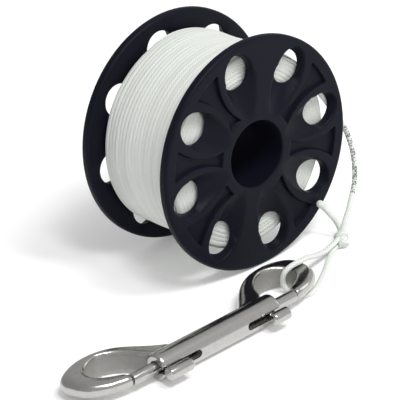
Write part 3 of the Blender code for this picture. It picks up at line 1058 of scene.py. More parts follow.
@dataclass(frozen=True)
class Studio:
    """Camera, floor and soft light of the picture."""

    camera_place: Triple = (-0.5677237, -0.6880977, 0.4766727)
    camera_right: Triple = (0.737339, -0.670019, -0.086052)
    camera_up: Triple = (0.354380, 0.275208, 0.893686)
    camera_back: Triple = (-0.575105, -0.689445, 0.440363)
    lens: float = 247.83
    sensor: float = 36.0
    clip: Pair = (0.05, 50.0)
    floor_span: float = 8.0
    world_level: float = 0.52
    world_lean: float = 0.12
    world_low: float = 0.08
    world_side: float = 0.12
    white: Triple = (1.0, 1.0, 1.0)
    aim: Triple = (0.0, 0.0, 0.02)
    softboxes: tuple[tuple[str, Triple, Pair, float], ...] = (
        ("left_key_softbox", (-0.16, -0.52, 0.95), (0.20, 0.34), 4.2),
        ("right_key_softbox", (0.20, -0.55, 0.95), (0.24, 0.34), 5.1),
        ("side_softbox", (1.00, -0.35, 0.45), (0.30, 0.50), 0.7),
    )

    def camera(self) -> None:
        """Set the camera at the photograph's viewing angle."""
        data = bpy.data.cameras.new("camera")
        data.lens = self.lens
        data.sensor_width = self.sensor
        data.clip_start, data.clip_end = self.clip
        item = Bench.link("camera", data)
        turn = Matrix((self.camera_right, self.camera_up, self.camera_back)).transposed()
        item.matrix_world = Matrix.Translation(self.camera_place) @ turn.to_4x4()
        bpy.context.scene.camera = item

    def floor(self) -> None:
        """Lay the floor."""
        half = self.floor_span / 2
        corners = [(-half, -half, 0), (half, -half, 0), (half, half, 0), (-half, half, 0)]
        item = Bench.form("floor", corners, [(0, 1, 2, 3)])
        item.data.materials.append(PaleFloor().make())

    def softbox(self, name: str, place: Triple, size: Pair, watts: float) -> None:
        """Hang one softbox that faces the aim.

        Args:
            name: the lamp's name.
            place: its middle.
            size: its width and height.
            watts: its power.
        """
        data = bpy.data.lights.new(name, "AREA")
        data.shape = "RECTANGLE"
        data.size, data.size_y = size
        data.energy = watts
        item = Bench.link(name, data)
        item.location = place
        item.rotation_euler = (Vector(self.aim) - Vector(place)).to_track_quat("-Z", "Y").to_euler()

    def lights(self) -> None:
        """Hang the softboxes and set the pale surround."""
        for softbox in self.softboxes:
            self.softbox(*softbox)
        world = bpy.data.worlds.new("surround")
        world.use_nodes = True
        kit = NodeKit(world.node_tree)
        back = world.node_tree.nodes["Background"]
        way = kit.node("ShaderNodeTexCoord").outputs["Generated"]
        parts = kit.node("ShaderNodeSeparateXYZ", None, {0: way}).outputs
        across, along, fall = kit.val(parts[0]), kit.val(parts[1]), 1 - kit.val(parts[2])
        level = self.world_level - along * self.world_lean + across * self.world_side
        level = level + fall * fall * self.world_low
        kit.feed(back, {"Color": rgba(self.white), "Strength": level.clamp()})
        bpy.context.scene.world = world
        bpy.context.scene.view_settings.view_transform = "Standard"

    def build(self) -> None:
        """Make the camera, the floor and the lights."""
        self.camera()
        self.floor()
        self.lights()


# Spool


def eased(share: float | np.ndarray) -> float | np.ndarray:
    """Hold a share between nought and one, and ease it in and out."""
    held = np.clip(share, 0, 1)
    return held * held * (3 - 2 * held)


def soft_max(first: np.ndarray, second: np.ndarray, width: float) -> np.ndarray:
    """Take the greater of two heights, with a rounded join.

    Args:
        first: heights.
        second: heights.
        width: how far the rounding reaches.

    Returns:
        The joined heights.
    """
    near = np.clip(width - np.abs(first - second), 0, None) / width
    return np.maximum(first, second) + near * near * width / 4


@dataclass(frozen=True)
class Flanges:
    """The two moulded halves of the spool."""

    radius: float = 0.0450
    width: float = 0.0470
    thickness: float = 0.0038
    rim_rounding: float = 0.0012
    # Hub tube and finger bore, with the spigot that joins the halves
    bore_radius: float = 0.0128
    bore_lip: float = 0.0007
    hub_wall: float = 0.0034
    spigot: float = 0.0060
    gap: float = 0.0003
    # Holes, their lips, and how far they open toward the rim at the outer face
    holes: int = 8
    first_angle: float = math.radians(9.0)
    pitch_radius: float = 0.0339
    hole_radius: float = 0.00635
    lip_width: float = 0.0011
    lip_depth: float = 0.0012
    back_edge: float = 0.0002
    hole_stretch: float = 0.0015
    stretch_reach: float = 0.0034
    stretch_power: float = 1.5
    # Scoops that lead from the hub into the holes
    scoop_radius: float = 0.0082
    scoop_start: float = 0.0152
    scoop_break: float = 0.0285
    scoop_end: float = 0.0310
    scoop_fade: float = 350.0
    soft: float = 0.0004
    # Pockets between the holes, with widths at the hub end, the waist and the rim end
    pocket_depth: float = 0.0015
    pocket_hub_end: float = 0.0171
    pocket_rim_end: float = 0.0401
    pocket_waist: float = 0.0294
    pocket_widths: Triple = (0.0061, 0.0037, 0.0119)
    pocket_wall: float = 0.00028
    pocket_soft: float = 0.0006
    plain_gaps: tuple[int, int] = (1, 5)
    # Points of a face: rows along its edges, a fill between them, and the room that each keeps
    lip_rows: tuple[float, ...] = (0.00010, 0.00024, 0.00042, 0.00066, 0.00095, 0.00125)
    lip_row_steps: int = 60
    crest_rows: tuple[float, ...] = (-0.0005, -0.0002, 0.0, 0.0002, 0.0005)
    crest_overrun: float = 0.0008
    crest_share: float = 0.93
    crest_steps: int = 44
    pocket_rows: tuple[float, ...] = (-0.0003, -0.00013, 0.0, 0.00013, 0.00027, 0.00041, 0.0007)
    pocket_row_steps: int = 40
    row_step: float = 0.0003
    row_least: int = 5
    row_clear: float = 0.00009
    fill_step: float = 0.0008
    fill_clear_share: float = 0.55
    under_step: float = 0.0040
    edge_clear: float = 0.0001
    hole_clear: float = 0.00005
    hole_keep_share: float = 0.999
    plan_gap: float = 1e-6
    cell: float = 0.001
    # Finish of the mesh
    rim_steps: int = 192
    hub_steps: int = 96
    hole_steps: int = 56
    round_steps: int = 7
    weld_gap: float = 2e-6
    sharp_angle: float = 48.0

    def place(self) -> Vector:
        """Give the spool's middle in the row frame."""
        low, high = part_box("front_half_spool")
        return Vector(((low.x + high.x) / 2, low.y + self.width / 2, (low.z + high.z) / 2))

    def hole_step(self) -> float:
        """Give the angle from one hole to the next."""
        return 2 * math.pi / self.holes

    def scoop_slope(self) -> float:
        """Give the angle of a scoop's floor."""
        return math.atan2(self.thickness, self.scoop_break - self.scoop_start)

    def pocket_half(self, reach: np.ndarray) -> np.ndarray:
        """Give half a pocket's width at distances from the axis."""
        stations = (self.pocket_hub_end, self.pocket_waist, self.pocket_rim_end)
        return np.polyval(np.polyfit(stations, self.pocket_widths, 2), reach) / 2

    def depth(self, x: np.ndarray, z: np.ndarray) -> np.ndarray:
        """Give the depth of the outer face below its flat, over its plan.

        Args:
            x: places across.
            z: places up.

        Returns:
            Depths in metres.
        """
        reach, angle = np.hypot(x, z), np.arctan2(z, x) - self.first_angle
        step = self.hole_step()
        turn = (angle + step / 2) % step - step / 2
        along, across = reach * np.cos(turn), reach * np.sin(turn)
        slope = self.scoop_slope()
        inside = np.sqrt(np.clip(self.scoop_radius ** 2 - across ** 2, 0, None))
        scoop = (along - self.scoop_start) * math.tan(slope)
        scoop -= (self.scoop_radius - inside) / math.cos(slope)
        scoop -= self.scoop_fade * np.clip(along - self.scoop_end, 0, None) ** 2
        out = np.hypot(along - self.pitch_radius, across)
        share = np.clip((self.hole_radius + self.lip_width - out) / self.lip_width, 0, 1)
        lip = self.lip_depth * (1 - np.sqrt(1 - share ** 2))
        return np.maximum(soft_max(scoop, lip, self.soft), self.pocket(reach, angle))

    def stretched(self, x: np.ndarray, z: np.ndarray) -> tuple[np.ndarray, np.ndarray]:
        """Open the holes toward the rim at the outer face.

        Args:
            x: places across.
            z: places up.

        Returns:
            The moved places across and up.
        """
        step = self.hole_step()
        angle = np.arctan2(z, x) - self.first_angle
        middle = self.first_angle + np.round(angle / step) * step
        way_x, way_z = np.cos(middle), np.sin(middle)
        off_x, off_z = x - self.pitch_radius * way_x, z - self.pitch_radius * way_z
        out = np.hypot(off_x, off_z)
        facing = np.clip((off_x * way_x + off_z * way_z) / out, 0, 1)
        fade = eased(1 - (out - self.hole_radius) / self.stretch_reach)
        push = self.hole_stretch * facing ** self.stretch_power * fade
        return x + push * way_x, z + push * way_z

    def pocket(self, reach: np.ndarray, angle: np.ndarray) -> np.ndarray:
        """Give the depth of the pockets between the petals.

        Args:
            reach: distances from the axis.
            angle: angles from the first hole.

        Returns:
            Depths in metres.
        """
        step = self.hole_step()
        which = np.floor(angle / step) % self.holes
        turn = angle % step - step / 2
        side = self.pocket_half(reach) - np.abs(reach * np.sin(turn))
        ends = np.minimum(reach - self.pocket_hub_end, self.pocket_rim_end - reach)
        edge = -soft_max(-side, -ends, self.pocket_soft)
        depth = self.pocket_depth * eased((edge + self.pocket_wall / 4) / self.pocket_wall)
        depth[np.isin(which, self.plain_gaps)] = 0
        return depth

    @staticmethod
    def circle(
        radius: float, count: int, middle: Pair = (0.0, 0.0), turn: float = 0.0
    ) -> np.ndarray:
        """Give points round a circle.

        Args:
            radius: its radius.
            count: points.
            middle: its middle.
            turn: angle of the first point.

        Returns:
            An array of (x, z) points.
        """
        angles = turn + np.linspace(0, 2 * math.pi, count, endpoint=False)
        return np.stack([middle[0] + radius * np.cos(angles), middle[1] + radius * np.sin(angles)], axis=1)

    def hole_middle(self, i: int) -> Pair:
        """Give the middle of a hole in plan."""
        angle = self.first_angle + i * 2 * math.pi / self.holes
        return (self.pitch_radius * math.cos(angle), self.pitch_radius * math.sin(angle))

    def hole_gap(self, spots: np.ndarray) -> np.ndarray:
        """Give how far plan points lie from the nearest hole's middle."""
        off = spots[:, None] - np.array([self.hole_middle(i) for i in range(self.holes)])
        return np.min(np.hypot(off[..., 0], off[..., 1]), axis=1)

    def feature_rows(self) -> np.ndarray:
        """Give rows of points along the edges of lips, scoops and pockets.

        Returns:
            An array of (x, z) points.
        """
        rows = []
        step = self.hole_step()
        across = np.linspace(-self.crest_share, self.crest_share, self.crest_steps) * self.scoop_radius
        rise = self.scoop_radius - np.sqrt(self.scoop_radius ** 2 - across ** 2)
        crest = self.scoop_start + rise / math.sin(self.scoop_slope())
        crest = np.minimum(crest, self.scoop_end + self.crest_overrun)
        for i in range(self.holes):
            angle = self.first_angle + i * step
            for out in self.lip_rows:
                radius = self.hole_radius + out
                rows.append(self.circle(radius, self.lip_row_steps, self.hole_middle(i), angle))
            for off in self.crest_rows:
                rows.append(self.turned(crest + off, across * (1 - off / self.scoop_radius), angle))
            if i not in self.plain_gaps:
                rows += self.pocket_edges(angle + step / 2)
        return np.concatenate(rows)

    def pocket_edges(self, middle: float) -> list[np.ndarray]:
        """Give rows of points along one pocket's edge, inside and outside it.

        Args:
            middle: angle of the pocket's middle.

        Returns:
            Arrays of (x, z) points.
        """
        rows = []
        reach = np.linspace(self.pocket_hub_end, self.pocket_rim_end, self.pocket_row_steps)
        for edge in self.pocket_rows:
            half = self.pocket_half(reach) - edge
            low, high = self.pocket_hub_end + edge, self.pocket_rim_end - edge
            kept = (reach > low) & (reach < high)
            for side in (-1, 1):
                rows.append(self.spun(reach[kept], side * half[kept], middle))
            for end in (low, high):
                wide = float(self.pocket_half(np.array(end))) - edge
                count = max(self.row_least, round(wide / self.row_step))
                spots = np.linspace(-wide, wide, count)
                rows.append(self.spun(np.full(len(spots), end), spots, middle))
        return rows

    @staticmethod
    def turned(along: np.ndarray, across: np.ndarray, angle: float) -> np.ndarray:
        """Turn plan points by an angle.

        Args:
            along: distances along the turned X.
            across: distances along the turned Z.
            angle: the turn.

        Returns:
            An array of (x, z) points.
        """
        c, s = math.cos(angle), math.sin(angle)
        return np.stack([along * c - across * s, along * s + across * c], axis=1)

    @staticmethod
    def spun(reach: np.ndarray, across: np.ndarray, angle: float) -> np.ndarray:
        """Place points at distances from the axis and off a radius.

        Args:
            reach: distances from the axis.
            across: distances off the radius.
            angle: the radius's angle.

        Returns:
            An array of (x, z) points.
        """
        turn = angle + np.arcsin(np.clip(across / reach, -1, 1))
        return np.stack([reach * np.cos(turn), reach * np.sin(turn)], axis=1)

    def plan(
        self, outer: float, inner: float, hole: float, rows: np.ndarray, step: float
    ) -> tuple[np.ndarray, list[tuple]]:
        """Fill a flange's plan with triangles.

        Args:
            outer: radius of its outer edge.
            inner: radius of its inner edge.
            hole: radius of its holes.
            rows: points that have to be in it.
            step: distance between the points that fill it.

        Returns:
            Its (x, z) points and its triangles.
        """
        loops = [self.circle(outer, self.rim_steps), self.circle(inner, self.hub_steps)]
        loops += [self.circle(hole, self.hole_steps, self.hole_middle(i)) for i in range(self.holes)]
        kept: list[Pair] = []
        cells: dict[tuple[int, int], list[Pair]] = {}

        def square(p: Pair) -> tuple[int, int]:
            """Give the square that a point lies in."""
            return int(p[0] // self.cell), int(p[1] // self.cell)

        def keep(p: Pair) -> None:
            """Keep a point, also in the list of its square."""
            kept.append(p)
            cells.setdefault(square(p), []).append(p)

        def room(p: Pair, clear: float) -> bool:
            """Say whether a point is clear of those kept so far.

            Args:
                p: the point.
                clear: distance that it has to keep.

            Returns:
                Whether it is clear.
            """
            a, b = square(p)
            near = (q for i in (-1, 0, 1) for j in (-1, 0, 1) for q in cells.get((a + i, b + j), ()))
            return all(math.hypot(p[0] - q[0], p[1] - q[1]) > clear for q in near)

        for p in np.concatenate(loops).tolist():
            keep(tuple(p))
        fill = (self.grid(outer, step), step * self.fill_clear_share)
        for spots, clear in ((rows, self.row_clear), fill):
            reach = np.hypot(spots[:, 0], spots[:, 1])
            usable = (reach < outer - self.edge_clear) & (reach > inner + self.edge_clear)
            usable &= self.hole_gap(spots) > hole + self.hole_clear
            for p in spots[usable].tolist():
                if room(p, clear):
                    keep(tuple(p))
        edges, first = [], 0
        for loop in loops:
            edges += [(first + k, first + (k + 1) % len(loop)) for k in range(len(loop))]
            first += len(loop)
        scaled = [Vector((PER_METRE * x, PER_METRE * z)) for x, z in kept]
        points, _, faces, *_ = delaunay_2d_cdt(scaled, edges, [], 0, self.plan_gap)
        flat = np.array([tuple(p) for p in points]) / PER_METRE
        triangles = np.array([tuple(f) for f in faces])
        centre = flat[triangles].mean(axis=1)
        reach = np.hypot(centre[:, 0], centre[:, 1])
        inside = (reach < outer) & (reach > inner)
        inside &= self.hole_gap(centre) > hole * self.hole_keep_share
        return flat, [tuple(t) for t in triangles[inside]]

    @staticmethod
    def grid(half: float, step: float) -> np.ndarray:
        """Give a grid of even triangles' corners over a square.

        Args:
            half: half the square's side.
            step: distance between the points.

        Returns:
            An array of (x, z) points.
        """
        places = np.arange(-half, half, step)
        lines = np.arange(-half, half, step * math.sqrt(3) / 2)
        return np.array([(x + (n % 2) * step / 2, z) for n, z in enumerate(lines) for x in places])

    def lathe_profile(self, spigot: bool) -> tuple[list[Pair], list[Pair]]:
        """Give the turned parts of a half: its rim, and its hub and bore, by depth below the face.

        Args:
            spigot: whether this half has the spigot or the socket.

        Returns:
            Two lists of (radius, depth) points.
        """
        soft, face, bore = self.rim_rounding, self.width / 2, self.bore_radius
        angles = np.linspace(0, math.pi / 2, self.round_steps)
        rim = [(self.radius - soft + soft * math.sin(a), soft - soft * math.cos(a)) for a in angles]
        rim += [(r, self.thickness - d) for r, d in reversed(rim)]
        hub, seam = bore + self.hub_wall, bore + self.hub_wall / 2
        lip = [(1 - math.sin(a), 1 - math.cos(a)) for a in angles]
        lip = [(bore + self.bore_lip * r, self.bore_lip * d) for r, d in lip]
        if spigot:
            wall, tip = seam - self.gap / 2, face + self.spigot
            end = [(hub, face), (wall, face), (wall, tip), (bore, tip)]
        else:
            wall, floor = seam + self.gap / 2, face - self.gap - self.spigot
            end = [(hub, face - self.gap), (wall, face - self.gap), (wall, floor), (bore, floor)]
        return rim, [(hub, self.thickness)] + end + list(reversed(lip))

    def half(self, name: str, sign: int, top: tuple, under: tuple) -> bpy.types.Object:
        """Build one half of the spool.

        Args:
            name: the piece's name.
            sign: -1 for the front half and 1 for the rear one.
            top: plan of its outer face.
            under: plan of its inner face.

        Returns:
            The closed piece in the row frame.
        """
        middle = self.place()
        points: list[Triple] = []
        faces: list[tuple] = []

        def put(x: float, z: float, depth: float) -> Triple:
            """Place a plan point at a depth below the outer face."""
            return (middle.x + x, middle.y + sign * (self.width / 2 - depth), middle.z + z)

        for (flat, triangles), outside in ((top, True), (under, False)):
            x, z = flat[:, 0], flat[:, 1]
            depths = self.depth(x, z) if outside else np.full(len(flat), self.thickness)
            across, up = self.stretched(x, z) if outside else (x, z)
            faces += [tuple(len(points) + i for i in t) for t in triangles]
            points += [put(*spot) for spot in zip(across, up, depths)]
        rim, hub = self.lathe_profile(sign < 0)
        for profile, steps in ((rim, self.rim_steps), (hub, self.hub_steps)):
            faces += Bench.bands(len(points), len(profile), steps)
            points += [put(x, z, d) for r, d in profile for x, z in self.circle(r, steps)]
        for i in range(self.holes):
            wall = self.circle(self.hole_radius, self.hole_steps, self.hole_middle(i))
            mouth = self.circle(self.hole_radius + self.back_edge, self.hole_steps, self.hole_middle(i))
            x, z = wall[:, 0], wall[:, 1]
            faces += Bench.bands(len(points), 3, self.hole_steps)
            points += [put(*spot) for spot in zip(*self.stretched(x, z), self.depth(x, z))]
            points += [put(x, z, self.thickness - self.back_edge) for x, z in wall]
            points += [put(x, z, self.thickness) for x, z in mouth]
        item = Bench.form(name, points, faces)
        Bench.weld(item, self.weld_gap)
        Bench.shade(item, self.sharp_angle)
        return item

    def build(self) -> None:
        """Make and dress both halves."""
        material = MouldedPlastic().make()
        shoulder = self.radius - self.rim_rounding
        lip, hub = self.bore_radius + self.bore_lip, self.bore_radius + self.hub_wall
        top = self.plan(shoulder, lip, self.hole_radius, self.feature_rows(), self.fill_step)
        mouth, no_rows = self.hole_radius + self.back_edge, np.zeros((0, 2))
        under = self.plan(shoulder, hub, mouth, no_rows, self.under_step)
        for name, sign in (("front_half", -1), ("rear_half", 1)):
            item = self.half(name, sign, top, under)
            Bench.dress(item, material, Body.SPOOL, Slot.PLASTIC, name + "_spool")


# Line


@dataclass(frozen=True)
class WoundLine:
    """The line on the spool: its outer layer, the layer under it and the sides of the pack."""

    spool: Flanges
    tree: WindingTree
    diameter: float = 0.00205
    pack_radius: float = 0.0380
    leave_angle: float = math.radians(33.0)
    clearance: float = 0.0003
    # Line as wound, pressed flat and wandering a little
    wound_diameter: float = 0.00220
    flat_share: float = 0.38
    wander: float = 0.00030
    side_y_wander: float = 0.35
    pitch: float = 0.00125
    seeds: tuple[float, float, float, float] = (3.1, 9.4, 5.7, 1.9)
    # Turns and layers, as shares of the wound line's own size, and where the runs start
    outer_pitch_share: float = 0.80
    second_pitch_share: float = 0.85
    side_pitch_share: float = 0.72
    layer_share: float = 0.9
    front_step: float = 0.0014
    second_start_angle: float = 0.4
    rear_start_angle: float = 1.0
    # Plain pack under the layers
    core_diameters: float = 1.7
    core_steps: int = 96
    sharp_angle: float = 40.0

    def reach(self) -> float:
        """Give how far the middle of a turn can lie from the spool's middle plane."""
        return self.spool.width / 2 - self.spool.thickness - self.clearance - self.diameter / 2

    def runs(self) -> dict[str, Winding]:
        """Give every wound run of the pack, with the line pressed flat by its own pull.

        Returns:
            Runs by the name of their piece.
        """
        thick, flat = self.wound_diameter, self.flat_share
        reach = self.reach() + (self.diameter - thick) / 2
        outer = self.pack_radius - thick * flat / 2
        inner = self.spool.bore_radius + self.spool.hub_wall + self.clearance + thick / 2
        under = outer - thick * flat * self.layer_share
        edge = reach - self.front_step
        turns = (edge + reach) / (thick * self.outer_pitch_share)
        start = self.leave_angle + turns * 2 * math.pi
        second_turns = 2 * reach / (thick * self.second_pitch_share)
        layers = (under - inner) / (thick * self.side_pitch_share)
        line = {"diameter": thick, "wander": self.wander, "pitch": self.pitch}
        across = line | {"radial_share": flat}
        side = line | {"axial_share": flat, "y_wander": self.side_y_wander, "rows_per_turn": 80}
        seeds = self.seeds
        return {
            "outer_layer": Winding(
                -turns, outer, outer, reach, -edge, start, rows_per_turn=110, seed=seeds[0], **across
            ),
            "second_layer": Winding(
                second_turns, under, under, -reach, reach, self.second_start_angle,
                rows_per_turn=64, sides=8, seed=seeds[1], **across
            ),
            "front_side": Winding(
                layers, inner, under, -reach, -reach, 0.0, seed=seeds[2], **side
            ),
            "rear_side": Winding(
                layers, inner, under, reach, reach, self.rear_start_angle, seed=seeds[3], **side
            ),
        }

    def core(self) -> bpy.types.Object:
        """Make the plain pack of line between its sides.

        Returns:
            The turned piece about the Z axis.
        """
        inner = self.spool.bore_radius + self.spool.hub_wall + self.clearance
        outer, half = self.pack_radius - self.core_diameters * self.diameter, self.reach()
        corners = [(inner, half), (outer, half), (outer, -half), (inner, -half), (inner, half)]
        item = Bench.lathe("line_pack", corners, self.core_steps)
        item.matrix_world = Matrix.Rotation(math.pi / 2, 4, "X")
        return Bench.settle(item)

    def build(self, material: bpy.types.Material) -> None:
        """Make and dress the wound line.

        Args:
            material: the braided line's material.
        """
        place = Matrix.Translation(self.spool.place())
        stands = {"outer_layer": ("line_winding",), "second_layer": (), "front_side": (), "rear_side": ()}
        for name, run in self.runs().items():
            item = self.tree.wind(name, run, material)
            item.data.transform(place)
            Bench.dress(item, material, Body.SPOOL, Slot.LINE, *stands[name])
        pack = self.core()
        pack.data.transform(place)
        Bench.shade(pack, self.sharp_angle)
        Bench.dress(pack, material, Body.SPOOL, Slot.LINE, "line_core")


@dataclass(frozen=True)
class FreeLine:
    """The free stretch of line, its knot and tag end, and the loop through the snap's eye."""

    wound: WoundLine
    pitch: float = 0.0016
    step: float = 0.00035
    samples: int = 16
    # Shares of the lead's length whose one side gets painted shade flecks.
    shade_flecked: Pair = (0.40, 0.765)
    leaving_diameters: Triple = (0.0, 1.15, 2.15)
    # Knot: a body with a square end, and a wrap round it; overrun and climb are in line diameters
    knot_top: Triple = (0.0276, -0.0356, 0.0045)
    knot_end: Triple = (0.0256, -0.0390, 0.0016)
    stub_radius: float = 0.0020
    stub_round_share: float = 0.35
    stub_least: float = 0.05
    stub_overrun: float = 0.8
    wrap_turns: float = 1.35
    wrap_climb: float = 0.75
    wrap_start: float = 0.1
    wrap_steps: int = 80
    # Melted bulb of the tag end
    bulb_diameter: float = 0.0030
    bulb_start_share: float = 0.80
    bulb_widest_share: float = 0.55
    bulb_fall_share: float = 0.452
    tag_step_share: float = 0.6
    # Routes, from the spool's axis and the floor
    lead_route: tuple[Triple, ...] = (
        (0.0416, -0.0184, 0.0489), (0.0469, -0.0184, 0.0407), (0.0500, -0.0187, 0.0340),
        (0.0512, -0.0197, 0.0275), (0.0508, -0.0211, 0.0216), (0.0493, -0.0225, 0.0174),
        (0.0467, -0.0245, 0.0145), (0.0431, -0.0265, 0.0117), (0.0392, -0.0287, 0.0089),
        (0.0352, -0.0310, 0.0072), (0.0313, -0.0334, 0.0058), (0.0285, -0.0351, 0.0046),
    )
    tag_route: tuple[Triple, ...] = (
        (0.0280, -0.0350, 0.0042), (0.0297, -0.0331, 0.0049), (0.0307, -0.0311, 0.0059),
        (0.0309, -0.0290, 0.0075), (0.0300, -0.0267, 0.0103), (0.0284, -0.0254, 0.0131),
        (0.0267, -0.0253, 0.0152),
    )
    loop_route: tuple[Triple, ...] = (
        (0.0262, -0.0361, 0.0042), (0.0237, -0.0370, 0.0038), (0.0199, -0.0379, 0.0034),
        (0.0158, -0.0391, 0.0034), (0.0107, -0.0408, 0.0046), (0.0058, -0.0427, 0.0064),
        (0.0015, -0.0446, 0.0084),
        (-0.0035, -0.0463, 0.0096), (-0.0082, -0.0462, 0.0094), (-0.0113, -0.0459, 0.0080),
        (-0.0123, -0.0456, 0.0055), (-0.0122, -0.0459, 0.0030), (-0.0120, -0.0478, 0.0012),
        (-0.0124, -0.0508, 0.00104), (-0.0112, -0.0539, 0.00104), (-0.0075, -0.0554, 0.00104),
        (-0.0022, -0.0531, 0.0011), (0.0027, -0.0501, 0.0011), (0.0085, -0.0464, 0.0011),
        (0.0128, -0.0432, 0.0011), (0.0169, -0.0403, 0.0011), (0.0212, -0.0377, 0.0011),
        (0.0250, -0.0361, 0.0015), (0.0267, -0.0355, 0.0022),
    )

    def shifted(self, places: Iterable[Triple]) -> list[Vector]:
        """Bring places from the spool's axis and the floor into the row frame."""
        middle = self.wound.spool.place()
        return [Vector(p) + Vector((middle.x, middle.y, 0)) for p in places]

    def leaving(self) -> tuple[Vector, Vector]:
        """Give the place where the line leaves the winding and the way it goes.

        Returns:
            A point and a direction in the row frame.
        """
        wound, angle = self.wound, self.wound.leave_angle
        radius = wound.pack_radius - wound.diameter / 2
        spot = Vector((radius * math.cos(angle), -wound.reach(), radius * math.sin(angle)))
        return wound.spool.place() + spot, Vector((math.sin(angle), 0, -math.cos(angle)))

    def lead_path(self) -> list[Vector]:
        """Give the middle of the free stretch from the winding to the knot.

        Returns:
            Even points in the row frame.
        """
        start, way = self.leaving()
        thick = self.wound.diameter
        begin = [start + way * far * thick for far in self.leaving_diameters]
        return evenly(catmull(begin + self.shifted(self.lead_route), self.samples), self.step)

    def tag_radius(self, share: float) -> float:
        """Give the tag end's radius: plain, then a melted bulb at its tip.

        Args:
            share: share of the way to the tip.

        Returns:
            The radius.
        """
        plain, bulb = self.wound.diameter / 2, self.bulb_diameter / 2
        start, widest = self.bulb_start_share, self.bulb_widest_share
        if share < start:
            return plain
        rise = (share - start) / (1 - start)
        if rise < widest:
            return plain + (bulb - plain) * math.sin(rise / widest * math.pi / 2)
        return bulb * math.sqrt(max(0.0, 1 - ((rise - widest) / self.bulb_fall_share) ** 2))

    def stub_radii(self, share: float) -> float:
        """Give the knot's radius from its rounded top to its square-cut end."""
        left = 1 - min(1.0, share / self.stub_round_share)
        return self.stub_radius * math.sqrt(max(self.stub_least, 1 - left ** 2))

    def knot(self) -> bpy.types.Object:
        """Tie the knot: a pulled-up body with a square-cut end, and a wrap of line round it.

        Returns:
            The knot as one mesh in the row frame.
        """
        top, end = self.shifted([self.knot_top, self.knot_end])
        way = (end - top).normalized()
        side = way.orthogonal().normalized()
        other = way.cross(side)
        thick, reach = self.wound.diameter, self.stub_radius
        turns = np.linspace(0, self.wrap_turns * 2 * math.pi, self.wrap_steps)
        climb = thick * self.wrap_climb
        ring = []
        for t in turns:
            low = top + way * (climb * (t / turns[-1] - self.wrap_start))
            ring.append(low + (side * math.cos(t) + other * math.sin(t)) * reach)
        stub = evenly([top - way * thick * self.stub_overrun, end], self.step)
        item = braided_tube("knot", stub, self.stub_radii, self.pitch)
        wrap = braided_tube("wrap", evenly(ring, self.step), lambda share: thick / 2, self.pitch)
        with Bench.opened(item) as shape:
            shape.from_mesh(wrap.data)
        Bench.drop(wrap)
        Bench.shade(item, TUBE_SHARP_ANGLE)
        return item

    def build(self, plain: bpy.types.Material) -> None:
        """Args:
            plain: the braided line's material.
        """
        half = self.wound.diameter / 2
        lead_path = self.lead_path()
        lead_length = path_length(lead_path)
        stitches = tuple(share * lead_length / self.pitch for share in self.shade_flecked)
        # The lead's finish, with painted shade flecks along one side of a stretch.
        shade_flecked = BraidedLine("shade_flecked_line", shade_flecked=stitches)
        lead = braided_tube("lead_line", lead_path, lambda share: half, self.pitch)
        Bench.dress(lead, shade_flecked.make(), Body.SPOOL, Slot.LINE, "line_lead")
        knot = Bench.dress(self.knot(), plain, Body.SPOOL, Slot.LINE, "line_knot")
        tag_curve = catmull(self.shifted(self.tag_route), self.samples)
        tag_path = evenly(tag_curve, self.step * self.tag_step_share)
        tag = braided_tube("tag_end", tag_path, self.tag_radius, self.pitch)
        Bench.dress(tag, plain, Body.SPOOL, Slot.LINE, "line_tag")
        loop_path = evenly(catmull(self.shifted(self.loop_route), self.samples), self.step)
        loop = braided_tube("snap_loop", loop_path, lambda share: half, self.pitch)
        Bench.dress(loop, plain, Body.SPOOL, Slot.LINE, "clip_loop")
        path_length(loop_path)


# Snap


